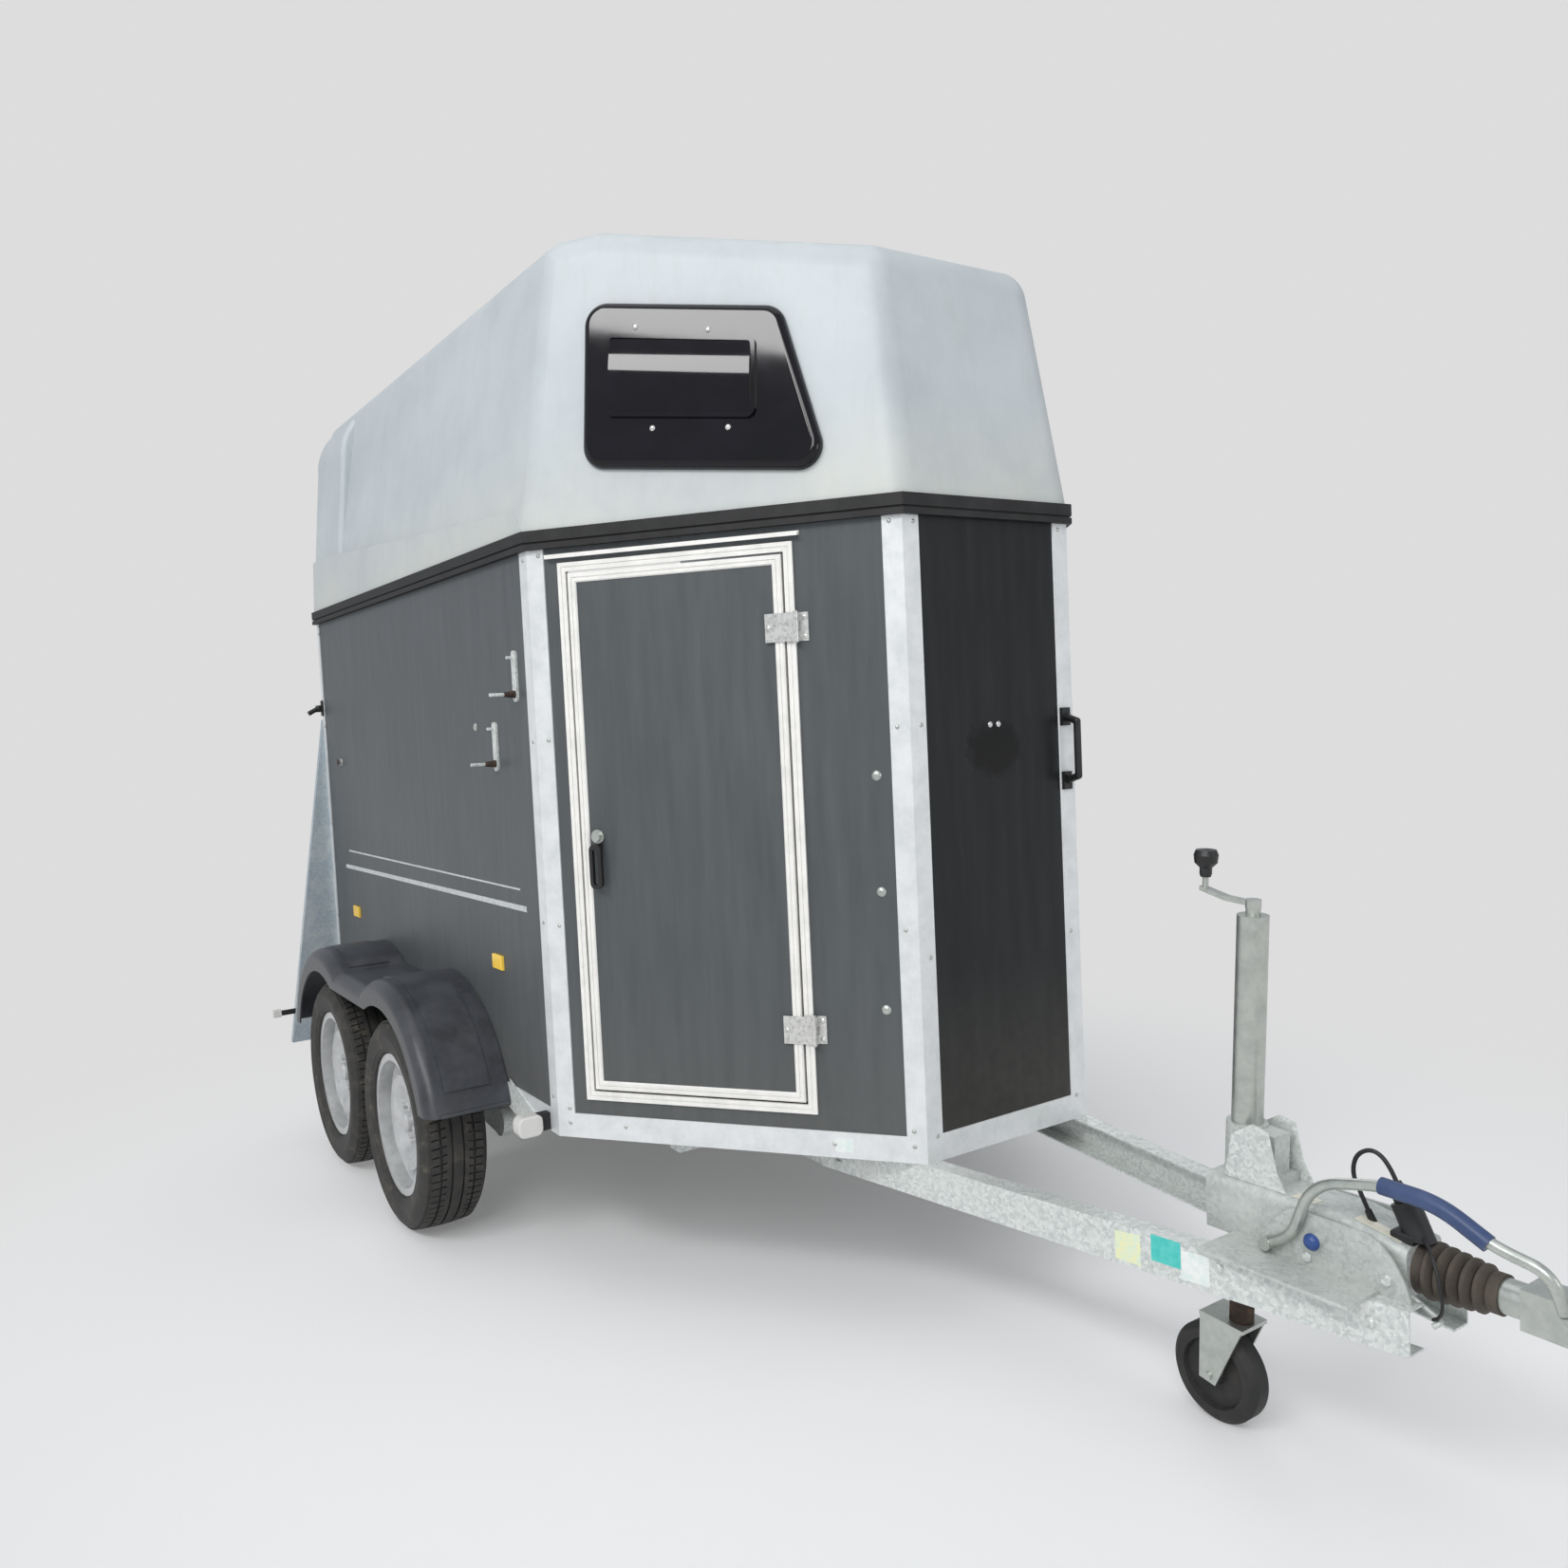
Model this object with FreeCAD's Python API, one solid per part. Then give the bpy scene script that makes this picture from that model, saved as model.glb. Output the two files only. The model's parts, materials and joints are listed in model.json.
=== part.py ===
import FreeCAD
import Part
import math
import os

# Two-horse trailer with a moulded hood, tandem axles and an overrun drawbar.
# Millimetres. X points forward to the coupling, Y to the left, Z up, floor at Z = 0.
# While it is modelled, X = 0 lies midway between the axles. The last step moves
# the whole trailer so that the middle of its length is at X = 0.

V = FreeCAD.Vector

# Body
BODY_HALF_W = 830.0
NOSE_HALF_W = 258.0
WALL_REAR_X = -1035.0
CORNER_X = 1092.0
NOSE_X = 1855.0
RAIL_Z = 422.0
RAIL_H = 62.0
WALL_TOP_Z = 1898.0
WALL_T = 18.0
SHEET_T = 3.0
POST_FLANGE = 47.0
FLANGE_IN = 42.0
FLOOR_T = 20.0
TRIM_H = 47.0
TRIM_OUT = 16.0
FIT_GAP = 0.3

# Hood
HOOD_T = 6.0
HOOD_OUT = 8.0
HOOD_RISE = 735.0
HOOD_SIDE_LEAN = 118.0
HOOD_DIAG_LEAN = 101.0
HOOD_NOSE_LEAN = 121.0
HOOD_CROWN = 30.0
ROOF_BREAK_X = 1070.0
ROOF_NOSE_Z = 2524.0
HOOP_LEN = 350.0
HOOP_TOP_Z = 2722.0
HOOP_HIP_Z = 2480.0
HOOP_SHOULDER_IN = 240.0
HOOP_BEND_IN = 92.0
ROLLER_IN = 85.0
LEDGE_REAR_Z = 2137.0
LEDGE_FRONT_Z = 2006.0
LEDGE_FRONT_X = 1020.0
CREASE_R = 80.0

# Window on each slanted hood face: along the face, then height
WINDOW = ((170.0, 2497.0), (170.0, 2084.0), (798.0, 2011.0), (678.0, 2411.0))
WINDOW_R = 55.0
WINDOW_T = 26.0
WINDOW_SHOULDER_R = 20.0
WINDOW_SKIN_T = 4.0
WINDOW_LAP = 24.0
FLAP = ((238.0, 2402.0), (238.0, 2196.0), (622.0, 2146.0), (622.0, 2338.0))
FLAP_H = 14.0
FLAP_R = 20.0
FLAP_SEAL_W = 11.0
FLAP_SEAL_H = 7.0
FLAP_BOW_R = 420.0

# Groom's door on the right slanted wall: along the wall from its rear corner
DOOR_S0 = 86.0
DOOR_S1 = 695.0
DOOR_Z0 = 523.0
DOOR_Z1 = 1861.0
SURROUND_W = 22.0
PROFILE_GROOVE_W = 2.5
PROFILE_GROOVE_DEEP = 2.0
SURROUND_H = 7.0
JAMB_LAP = 10.0
JAMB_T = 5.0
DOOR_GAP = 5.5
LEAF_FRAME_W = 23.0
LEAF_FRAME_PROUD = 11.0
LEAF_FRAME_BACK = 12.0
LEAF_PANEL_PROUD = 6.0
LEAF_PANEL_BACK = 10.0
HINGE_S = 700.0
HINGE_D = 17.0
HINGE_R = 7.0
HINGE_PIN_R = 3.5
HINGE_H = 66.0
HINGE_ZS = (725.0, 1665.0)
GUTTER_Z = 1874.0
LOCK_S = 152.0
LOCK_Z = 1187.0

# Wheels and axles
AXLE_GAP = 705.0
WHEEL_R = 310.0
WHEEL_OUT = 126.0
WHEEL_Y = BODY_HALF_W + WHEEL_OUT
TYRE_W = 195.0
TYRE_BULGE_IN = 50.0
TYRE_SHOULDER_IN = 13.0
TYRE_SHOULDER_DROP = 16.0
TREAD_HALF_W = 62.0
RIM_FLANGE_R = 207.8
RIM_SEAT_R = 190.5
RIM_W = 155.0
RIM_WELL_R = 165.0
RIM_T = 5.0
HUB_FACE_OUT = 28.0
HUB_BORE_R = 34.0
HAND_HOLES = 10
WHEEL_BOLTS = 5
DRUM_R = 125.0
DRUM_W = 95.0
AXLE_TUBE = 80.0
AXLE_IN = 85.0
AXLE_HALF_L = BODY_HALF_W - AXLE_IN
AXLE_LEAD = 150.0
ARM_T = 34.0

# Chassis and drawbar
BEAM_H = 81.0
BEAM_FLANGE = 46.0
BEAM_T = 4.0
BEAM_TOP_Z = RAIL_Z
SPLICE_X = 1520.0
BEAM_END_X = 2892.0
BEAM_END_Y = 94.0
BEAM_SLOPE = 0.1666
RAIL_TOP_Z = RAIL_Z + SHEET_T
CROSS_H = 40.0
CROSS_W = 50.0
CROSS_XS = (-1010.0, -560.0, 80.0, 760.0, 1290.0)

# Ramp
RAMP_T = 35.0
RAMP_GAP = 9.0
RAMP_SIDE_GAP = 15.0
RAMP_HALF_W = BODY_HALF_W - RAMP_SIDE_GAP
RAMP_Z0 = 455.0
RAMP_HINGE_IN = 190.0
RAMP_HINGE_YS = (RAMP_HINGE_IN - BODY_HALF_W, 0, BODY_HALF_W - RAMP_HINGE_IN)
RAMP_Z1 = 1566.0
RAMP_PIVOT_OUT = 6.0
RAMP_PIVOT_Z = 440.0
RAMP_FRAME_W = 40.0
RAMP_PIN_R = 8.0
RAMP_EAR_R = 12.0

# Rear wings that carry the lamps
WING_TOP_Z = 1528.0
WING_BOTTOM_Z = 279.0
WING_W = 198.0
WING_OUT_Y = BODY_HALF_W + WING_W
WING_T = 3.0
WING_FOLD = 28.0
REFLECTOR_W = 68.0
REFLECTOR_H = 40.0
REFLECTOR_T = 9.0
FRONT_LAMP_BACK = 38.0
FRONT_LAMP_Z = 447.0
FRONT_LAMP_W = 68.0
FRONT_LAMP_H = 54.0
FRONT_LAMP_DEEP = 40.0
FRONT_LAMP_R = 19.0
FRONT_LAMP_EDGE_R = 6.0
FRONT_LAMP_ARM_L = 24.0
LEVER_PLATE_W = 28.0
LEVER_PLATE_T = 6.0
LEVER_PLATE_DOWN = 20.0
LEVER_PLATE_UP = 112.0
LEVER_ROD_R = 4.5
LEVER_ROD_L = 74.0
LEVER_SLEEVE_R = 11.0
LEVER_SLEEVE_L = 36.0
LEVER_STUD_UP = 94.0
LEVER_STUD_L = 24.0

# Mudguards
GUARD_R = 430.0
GUARD_LIP_R = 356.0
GUARD_T = 5.0
GUARD_W = 240.0
GUARD_OUT_Y = BODY_HALF_W + GUARD_W
GUARD_SADDLE_Z = 690.0
GUARD_LIP_Z = 634.0
GUARD_FOOT_Z = 428.0
GUARD_EDGE_R = 38.0
GUARD_BEAD = 4.0
GUARD_BEAD_UP = 62.0
GUARD_BEAD_IN = 58.0
GUARD_BEAD_W = 128.0
GUARD_SADDLE_HALF = 165.0
GUARD_LIP_H = 9.0

# Jack
JACK_X = 2512.0
JACK_LEAN = 3.5
JACK_OUTER_R = 30.0
JACK_INNER_R = 23.5
JACK_TUBE_T = 3.0
JACK_TOP_Z = 1042.0
JACK_BOTTOM_Z = 505.0
FORK_T = 6.0
FORK_TRAIL = 45.0
JOCKEY_R = 100.0
JOCKEY_W = 55.0

# Overrun device and coupling
TUBE_Z = 463.0
TUBE_R = 29.5
HOUSING_X0 = 2462.0
HOUSING_X1 = 2868.0
HOUSING_HALF_W = 56.0
HOUSING_Z1 = 530.0
BELLOWS_X1 = 3004.0
BELLOWS_R0 = 46.0
BELLOWS_R1 = 35.0
BALL_X = 3206.0
BALL_R = 25.3
BALL_CUP_DEPTH = 26.0

# Stall fittings
BREAST_X = 974.0
BREAST_Z = 1549.0
LOW_LEVER_X = 808.0
LOW_LEVER_Z = 1369.0
RUMP_X = -811.0
RUMP_Z = 1362.0
BAR_R = 21.0
STALL_POST = 45.0


def box(x0, x1, y0, y1, z0, z1):
    return Part.makeBox(x1 - x0, y1 - y0, z1 - z0, V(x0, y0, z0))


def prism_z(points, z0, z1):
    wire = Part.makePolygon([V(x, y, z0) for x, y in points + points[:1]])
    return Part.Face(wire).extrude(V(0, 0, z1 - z0))


def prism_y(points, y0, y1):
    wire = Part.makePolygon([V(x, y0, z) for x, z in points + points[:1]])
    return Part.Face(wire).extrude(V(0, y1 - y0, 0))


def prism_x(points, x0, x1):
    wire = Part.makePolygon([V(x0, y, z) for y, z in points + points[:1]])
    return Part.Face(wire).extrude(V(x1 - x0, 0, 0))


def rod(p, q, r):
    p = V(*p)
    q = V(*q)
    return Part.makeCylinder(r, (q - p).Length, p, q - p)


def fuse(shapes):
    solid = shapes[0]
    for other in shapes[1:]:
        solid = solid.fuse(other)
    return solid.removeSplitter()


def mirrored(shape):
    return shape.mirror(V(0, 0, 0), V(0, 1, 0))


def both(shape):
    return Part.makeCompound([shape, mirrored(shape)])


def edges_where(shape, test):
    return [e for e in shape.Edges if test(e)]


def mid(edge):
    return edge.valueAt((edge.FirstParameter + edge.LastParameter) / 2)


def rounded_outline(points, radius):
    """Closed wire through the corners with each corner rounded, in the XZ plane."""
    parts = []
    ends = []
    count = len(points)
    for i in range(count):
        a = V(points[i - 1][0], 0, points[i - 1][1])
        b = V(points[i][0], 0, points[i][1])
        c = V(points[(i + 1) % count][0], 0, points[(i + 1) % count][1])
        u = (a - b).normalize()
        w = (c - b).normalize()
        half = u.getAngle(w) / 2
        reach = radius / math.tan(half)
        bis = (u + w).normalize()
        centre = b + bis * (radius / math.sin(half))
        ends.append((b + u * reach, centre - bis * radius, b + w * reach))
    for i in range(count):
        start, middle, end = ends[i]
        parts.append(Part.Arc(start, middle, end).toShape())
        parts.append(Part.LineSegment(end, ends[(i + 1) % count][0]).toShape())
    return Part.Wire(parts)


def inset_outline(points, d):
    """The same polygon with every side moved inwards by d."""
    count = len(points)
    area = sum(points[i - 1][0] * points[i][1] - points[i][0] * points[i - 1][1] for i in range(count))
    turn = 1 if area > 0 else -1
    lines = []
    for i in range(count):
        (x0, z0), (x1, z1) = points[i - 1], points[i]
        length = math.hypot(x1 - x0, z1 - z0)
        nx = -(z1 - z0) / length * turn
        nz = (x1 - x0) / length * turn
        lines.append((nx, nz, nx * x0 + nz * z0 + d))
    result = []
    for i in range(count):
        a1, b1, c1 = lines[i]
        a2, b2, c2 = lines[(i + 1) % count]
        det = a1 * b2 - a2 * b1
        result.append(((c1 * b2 - c2 * b1) / det, (a1 * c2 - a2 * c1) / det))
    return result


# Plan outline of the body. Corners run from the rear right round the nose to the rear left.
DIAG_SLOPE = (BODY_HALF_W - NOSE_HALF_W) / (NOSE_X - CORNER_X)
DIAG_DEG = math.degrees(math.atan(DIAG_SLOPE))
DIAG_Q = math.sqrt(1 + DIAG_SLOPE ** 2)
DIAG_LEN = math.hypot(NOSE_X - CORNER_X, BODY_HALF_W - NOSE_HALF_W)


def plan(inset, x_rear=WALL_REAR_X):
    w = BODY_HALF_W - inset
    xn = NOSE_X - inset
    xs = CORNER_X - inset * (DIAG_Q - 1) / DIAG_SLOPE
    yn = BODY_HALF_W - DIAG_SLOPE * (xn - CORNER_X) - inset * DIAG_Q
    return [(x_rear, -w), (xs, -w), (xn, -yn), (xn, yn), (xs, w), (x_rear, w)]


def plan_half(x, inset):
    """Half the body's width at x, moved inwards by inset."""
    slanted = BODY_HALF_W - DIAG_SLOPE * (x - CORNER_X) - inset * DIAG_Q
    return min(BODY_HALF_W - inset, slanted)


def along(p, q, d):
    length = math.hypot(q[0] - p[0], q[1] - p[1])
    return (p[0] + (q[0] - p[0]) * d / length, p[1] + (q[1] - p[1]) * d / length)


def ring(outer_inset, inner_inset, z0, z1, x_rear=WALL_REAR_X):
    """A band round both sides, the slanted faces and the nose, open at the rear."""
    outer = prism_z(plan(outer_inset, x_rear), z0, z1)
    inner = prism_z(plan(inner_inset, x_rear - 10), z0 - 10, z1 + 10)
    return outer.cut(inner)


def on_diag(shape):
    """From the slanted wall's own axes (along, minus outward, up) to the trailer."""
    placed = shape.copy()
    placed.rotate(V(0, 0, 0), V(0, 0, 1), DIAG_DEG)
    placed.translate(V(CORNER_X, -BODY_HALF_W, 0))
    return placed


def frame_ring(s0, s1, z0, z1, width, d0, d1):
    """Rectangular frame in the slanted wall's axes; d0 and d1 are heights off its face."""
    outer = box(s0, s1, -d1, -d0, z0, z1)
    inner = box(s0 + width, s1 - width, -d1 - 1, -d0 + 1, z0 + width, z1 - width)
    return outer.cut(inner)


def walls():
    outer = plan(0)
    inner = plan(WALL_T)
    names = ("side_wall_right", "slant_wall_right", "nose_wall", "slant_wall_left", "side_wall_left")
    made = {}
    for i, name in enumerate(names):
        quad = [outer[i], outer[i + 1], inner[i + 1], inner[i]]
        made[name] = prism_z(quad, RAIL_Z + SHEET_T, WALL_TOP_Z)
    opening = box(DOOR_S0 + JAMB_LAP, DOOR_S1 - JAMB_LAP, -10, WALL_T + 10,
                  DOOR_Z0 + JAMB_LAP, DOOR_Z1 - JAMB_LAP)
    made["slant_wall_right"] = made["slant_wall_right"].cut(on_diag(opening))
    return made


def corner_posts():
    face = plan(0)
    skin = plan(-SHEET_T)
    posts = []
    for i in range(1, 5):
        back = i - 1
        ahead = i + 1
        quad = [along(skin[i], skin[back], POST_FLANGE), skin[i], along(skin[i], skin[ahead], POST_FLANGE),
                along(face[i], face[ahead], POST_FLANGE), face[i], along(face[i], face[back], POST_FLANGE)]
        posts.append(prism_z(quad, RAIL_Z, WALL_TOP_Z))
    rear = [box(WALL_REAR_X - SHEET_T, WALL_REAR_X, side * BODY_HALF_W - (FLANGE_IN if side > 0 else 0),
                side * BODY_HALF_W + (FLANGE_IN if side < 0 else 0), RAIL_Z, WALL_TOP_Z) for side in (-1, 1)]
    for side, plate in zip((-1, 1), rear):
        y0 = side * BODY_HALF_W
        y1 = side * (BODY_HALF_W + SHEET_T)
        cheek = box(WALL_REAR_X - SHEET_T, WALL_REAR_X + POST_FLANGE / 2, min(y0, y1), max(y0, y1),
                    RAIL_Z, WALL_TOP_Z)
        posts.append(plate.fuse(cheek).removeSplitter())
    return Part.makeCompound(posts)


def bottom_rails():
    face = plan(0)
    skin = plan(-SHEET_T)
    pieces = [ring(0, FLANGE_IN, RAIL_Z, RAIL_Z + SHEET_T)]
    for i in range(5):
        a0 = skin[i] if i == 0 else along(skin[i], skin[i + 1], POST_FLANGE)
        a1 = skin[i + 1] if i == 4 else along(skin[i + 1], skin[i], POST_FLANGE)
        b0 = face[i] if i == 0 else along(face[i], face[i + 1], POST_FLANGE)
        b1 = face[i + 1] if i == 4 else along(face[i + 1], face[i], POST_FLANGE)
        if i == 0:
            a0 = (a0[0] + POST_FLANGE / 2, a0[1])
            b0 = (b0[0] + POST_FLANGE / 2, b0[1])
        if i == 4:
            a1 = (a1[0] + POST_FLANGE / 2, a1[1])
            b1 = (b1[0] + POST_FLANGE / 2, b1[1])
        pieces.append(prism_z([a0, a1, b1, b0], RAIL_Z, RAIL_Z + RAIL_H))
    return fuse(pieces)


def trim_band():
    band = ring(-TRIM_OUT, WALL_T, WALL_TOP_Z, WALL_TOP_Z + TRIM_H, WALL_REAR_X - TRIM_OUT)
    groove = ring(-TRIM_OUT - 5, -TRIM_OUT + 5, WALL_TOP_Z + 14, WALL_TOP_Z + 19, WALL_REAR_X - TRIM_OUT - 1)
    return band.cut(groove)


def floor_board():
    return prism_z(plan(WALL_T + FIT_GAP), RAIL_TOP_Z, RAIL_TOP_Z + FLOOR_T)


HOOD_Z0 = WALL_TOP_Z + TRIM_H
HOOD_REAR_X = WALL_REAR_X - TRIM_OUT / 2


def leaning_block(inset):
    """Block outside the leaning slanted face of the hood on the right."""
    lean = math.degrees(math.atan(HOOD_DIAG_LEAN / HOOD_RISE))
    block = box(-1500, 2600, -1500, -HOOD_OUT + inset, -600, 1600)
    block.rotate(V(0, -HOOD_OUT + inset, 0), V(1, 0, 0), -lean)
    block.translate(V(0, 0, HOOD_Z0))
    return on_diag(block)


def hood_main(t, z0):
    """Main moulding, moved inwards by t."""
    w0 = BODY_HALF_W + HOOD_OUT - t
    side_k = HOOD_SIDE_LEAN / HOOD_RISE
    nose_k = HOOD_NOSE_LEAN / HOOD_RISE
    hip_z = HOOD_Z0 + HOOD_RISE - t
    drop = HOOD_Z0 - z0
    w_low = w0 + side_k * drop
    w_hip = w0 - side_k * (hip_z - HOOD_Z0)
    a = V(0, -w_hip, hip_z)
    b = V(0, 0, hip_z + HOOD_CROWN)
    c = V(0, w_hip, hip_z)
    low_r = V(0, -w_low, z0)
    low_l = V(0, w_low, z0)
    wire = Part.Wire([Part.LineSegment(low_r, a).toShape(), Part.Arc(a, b, c).toShape(),
                      Part.LineSegment(c, low_l).toShape(), Part.LineSegment(low_l, low_r).toShape()])
    tube = Part.Face(wire).extrude(V(NOSE_X + 300 - HOOD_REAR_X, 0, 0))
    tube.translate(V(HOOD_REAR_X - (20 if t else 0), 0, 0))
    xn = NOSE_X + HOOD_OUT - t
    top = hip_z + HOOD_CROWN + 50
    nose_z = ROOF_NOSE_Z - t
    crown_z = hip_z + HOOD_CROWN
    slope = (crown_z - nose_z) / (xn - nose_k * (nose_z - HOOD_Z0) - ROOF_BREAK_X)
    side = prism_y([(xn + nose_k * drop, z0), (xn - nose_k * (nose_z - HOOD_Z0), nose_z),
                    (ROOF_BREAK_X, crown_z), (ROOF_BREAK_X - 50 / slope, top), (HOOD_REAR_X - 40, top),
                    (HOOD_REAR_X - 40, z0)], -1000, 1000)
    body = tube.common(side)
    block = leaning_block(t)
    return body.cut(block).cut(mirrored(block))


def hood_hoop(t, z0):
    """Taller arch round the rear opening, moved inwards by t."""
    w0 = BODY_HALF_W + HOOD_OUT - t
    k = 0.095
    drop = HOOD_Z0 - z0
    pts = [V(0, -w0 - k * drop, z0), V(0, -w0 + k * (HOOP_HIP_Z - HOOD_Z0), HOOP_HIP_Z)]
    shoulder = V(0, HOOP_SHOULDER_IN - BODY_HALF_W + t / 2, HOOP_TOP_Z - 34 - t)
    bend = V(0, HOOP_BEND_IN - BODY_HALF_W + t * 0.8, HOOP_TOP_Z - 105 - t * 0.7)
    crown = V(0, 0, HOOP_TOP_Z - t)
    flip = [V(0, -p.y, p.z) for p in (pts[0], pts[1], bend, shoulder)]
    wire = Part.Wire([
        Part.LineSegment(pts[0], pts[1]).toShape(), Part.Arc(pts[1], bend, shoulder).toShape(),
        Part.Arc(shoulder, crown, flip[3]).toShape(), Part.Arc(flip[3], flip[2], flip[1]).toShape(),
        Part.LineSegment(flip[1], flip[0]).toShape(), Part.LineSegment(flip[0], pts[0]).toShape()])
    start = HOOD_REAR_X - (20 if t else 0)
    end = HOOD_REAR_X + HOOP_LEN - t
    arch = Part.Face(wire).extrude(V(end - start, 0, 0))
    arch.translate(V(start, 0, 0))
    return arch


def hood_ledge(t, z0):
    """Proud band along the foot of each side, under the recessed side panel."""
    w0 = BODY_HALF_W + HOOD_OUT - t
    k = 0.045
    side = prism_y([(HOOD_REAR_X - (20 if t else 0), z0), (CORNER_X - t, z0), (CORNER_X - t, HOOD_Z0),
                    (LEDGE_FRONT_X - t, LEDGE_FRONT_Z - t), (HOOD_REAR_X + HOOP_LEN / 2, LEDGE_REAR_Z - t),
                    (HOOD_REAR_X - (20 if t else 0), LEDGE_REAR_Z - t)], -1000, 1000)
    drop = HOOD_Z0 - z0
    rise = LEDGE_REAR_Z + 20 - HOOD_Z0
    band = prism_x([(-w0 - k * drop, z0), (-w0 + k * rise, HOOD_Z0 + rise), (w0 - k * rise, HOOD_Z0 + rise),
                    (w0 + k * drop, z0)], HOOD_REAR_X - 40, CORNER_X + 100)
    return side.common(band)


def on_hood_face(shape):
    """From a flat panel's axes to the leaning slanted face of the hood on the right."""
    lean = math.degrees(math.atan(HOOD_DIAG_LEAN / HOOD_RISE))
    placed = shape.copy()
    placed.translate(V(0, -HOOD_OUT, -HOOD_Z0))
    placed.rotate(V(0, -HOOD_OUT, 0), V(1, 0, 0), -lean)
    placed.translate(V(0, 0, HOOD_Z0))
    return on_diag(placed)


def panel(points, radius, d0, d1):
    face = Part.Face(rounded_outline(points, radius))
    solid = face.extrude(V(0, -(d1 - d0), 0))
    solid.translate(V(0, -d0, 0))
    return solid


def softened(main, radius):
    """The main moulding with every crease of its roof and faces rounded."""
    low = main.BoundBox.ZMin
    rear = main.BoundBox.XMin

    def soft(edge):
        return edge.BoundBox.ZMax > low + 1 and edge.BoundBox.XMax > rear + 1
    return main.makeFillet(radius, edges_where(main, soft))


def hood_outer():
    main = softened(hood_main(0, HOOD_Z0), CREASE_R)
    hoop = hood_hoop(0, HOOD_Z0)
    front = edges_where(hoop, lambda e: e.BoundBox.XMin > HOOD_REAR_X + HOOP_LEN - 1 and mid(e).z > HOOD_Z0 + 1)
    hoop = hoop.makeFillet(18, front)
    return main.fuse(hoop).fuse(hood_ledge(0, HOOD_Z0)).removeSplitter()


def hood_inner():
    low = HOOD_Z0 - 30
    return softened(hood_main(HOOD_T, low), CREASE_R - HOOD_T).fuse(hood_hoop(HOOD_T, low))


def hood():
    shell = hood_outer().cut(hood_inner())
    hole = on_hood_face(panel(inset_outline(list(WINDOW), WINDOW_LAP), WINDOW_R - WINDOW_LAP, -60, 30))
    return shell.cut(hole).cut(mirrored(hole))


def windows():
    """Smoked windows: a blown form with a rounded shoulder, a vent seal on it and the bowed vent pane."""
    front = -WINDOW_T
    form = panel(list(WINDOW), WINDOW_R, 0, WINDOW_T)
    shoulder = edges_where(form, lambda e: e.BoundBox.YMax < front + 0.01)
    form = form.makeFillet(WINDOW_SHOULDER_R, shoulder)
    cavity = panel(inset_outline(list(WINDOW), WINDOW_LAP), WINDOW_R - WINDOW_LAP, -1, WINDOW_T - WINDOW_SKIN_T)
    seal = panel(list(FLAP), FLAP_R, WINDOW_T, WINDOW_T + FLAP_SEAL_H)
    pane_outline = inset_outline(list(FLAP), FLAP_SEAL_W)
    seal = seal.cut(panel(pane_outline, FLAP_R - FLAP_SEAL_W, WINDOW_T - 1, WINDOW_T + FLAP_SEAL_H + 1))
    pane = panel(pane_outline, FLAP_R - FLAP_SEAL_W, WINDOW_T, WINDOW_T + FLAP_H)
    (s0, z_high0), (_, z_low0), (s1, z_low1), (_, z_high1) = FLAP
    deep = FLAP_BOW_R - WINDOW_T - FLAP_H
    axis_from = V(s0 - FLAP_BOW_R, deep, (z_high0 + z_low0) / 2)
    axis = V(s1 - s0, 0, (z_high1 + z_low1 - z_high0 - z_low0) / 2)
    axis_from.z -= axis.z / axis.x * FLAP_BOW_R
    bow = Part.makeCylinder(FLAP_BOW_R, axis.Length + 2 * FLAP_BOW_R, axis_from, axis)
    return both(on_hood_face(fuse([form.cut(cavity), seal, pane.common(bow)])))


def profile_groove(s0, s1, z0, z1, width, proud):
    """Shallow groove along the middle of a frame profile's face."""
    inset = (width - PROFILE_GROOVE_W) / 2
    return frame_ring(s0 + inset, s1 - inset, z0 + inset, z1 - inset, PROFILE_GROOVE_W,
                      proud - PROFILE_GROOVE_DEEP, proud + 1)


def door_surround():
    face = frame_ring(DOOR_S0, DOOR_S1, DOOR_Z0, DOOR_Z1, SURROUND_W, 0, SURROUND_H)
    face = face.cut(profile_groove(DOOR_S0, DOOR_S1, DOOR_Z0, DOOR_Z1, SURROUND_W, SURROUND_H))
    jamb = frame_ring(DOOR_S0 + JAMB_LAP, DOOR_S1 - JAMB_LAP, DOOR_Z0 + JAMB_LAP, DOOR_Z1 - JAMB_LAP,
                      JAMB_T, -WALL_T, 0)
    gutter = prism_x([(0, GUTTER_Z), (-16, GUTTER_Z - 2), (-16, GUTTER_Z + 8), (-13, GUTTER_Z + 8),
                      (-13, GUTTER_Z + 3), (-3, GUTTER_Z + 4), (-3, GUTTER_Z + 10), (0, GUTTER_Z + 10)],
                     DOOR_S0 - 30, DOOR_S1 + 17)
    return Part.makeCompound([on_diag(fuse([face, jamb])), on_diag(gutter)])


LEAF_S0 = DOOR_S0 + SURROUND_W + DOOR_GAP
LEAF_S1 = DOOR_S1 - SURROUND_W - DOOR_GAP
LEAF_Z0 = DOOR_Z0 + SURROUND_W + DOOR_GAP
LEAF_Z1 = DOOR_Z1 - SURROUND_W - DOOR_GAP


def door_frame():
    ring_part = frame_ring(LEAF_S0, LEAF_S1, LEAF_Z0, LEAF_Z1, LEAF_FRAME_W, -LEAF_FRAME_BACK,
                           LEAF_FRAME_PROUD)
    inner = edges_where(ring_part, lambda e: e.BoundBox.YMax < -LEAF_FRAME_PROUD + 0.01)
    ring_part = ring_part.makeChamfer(3, inner)
    groove = profile_groove(LEAF_S0, LEAF_S1, LEAF_Z0, LEAF_Z1, LEAF_FRAME_W, LEAF_FRAME_PROUD)
    return on_diag(ring_part.cut(groove))


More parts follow.
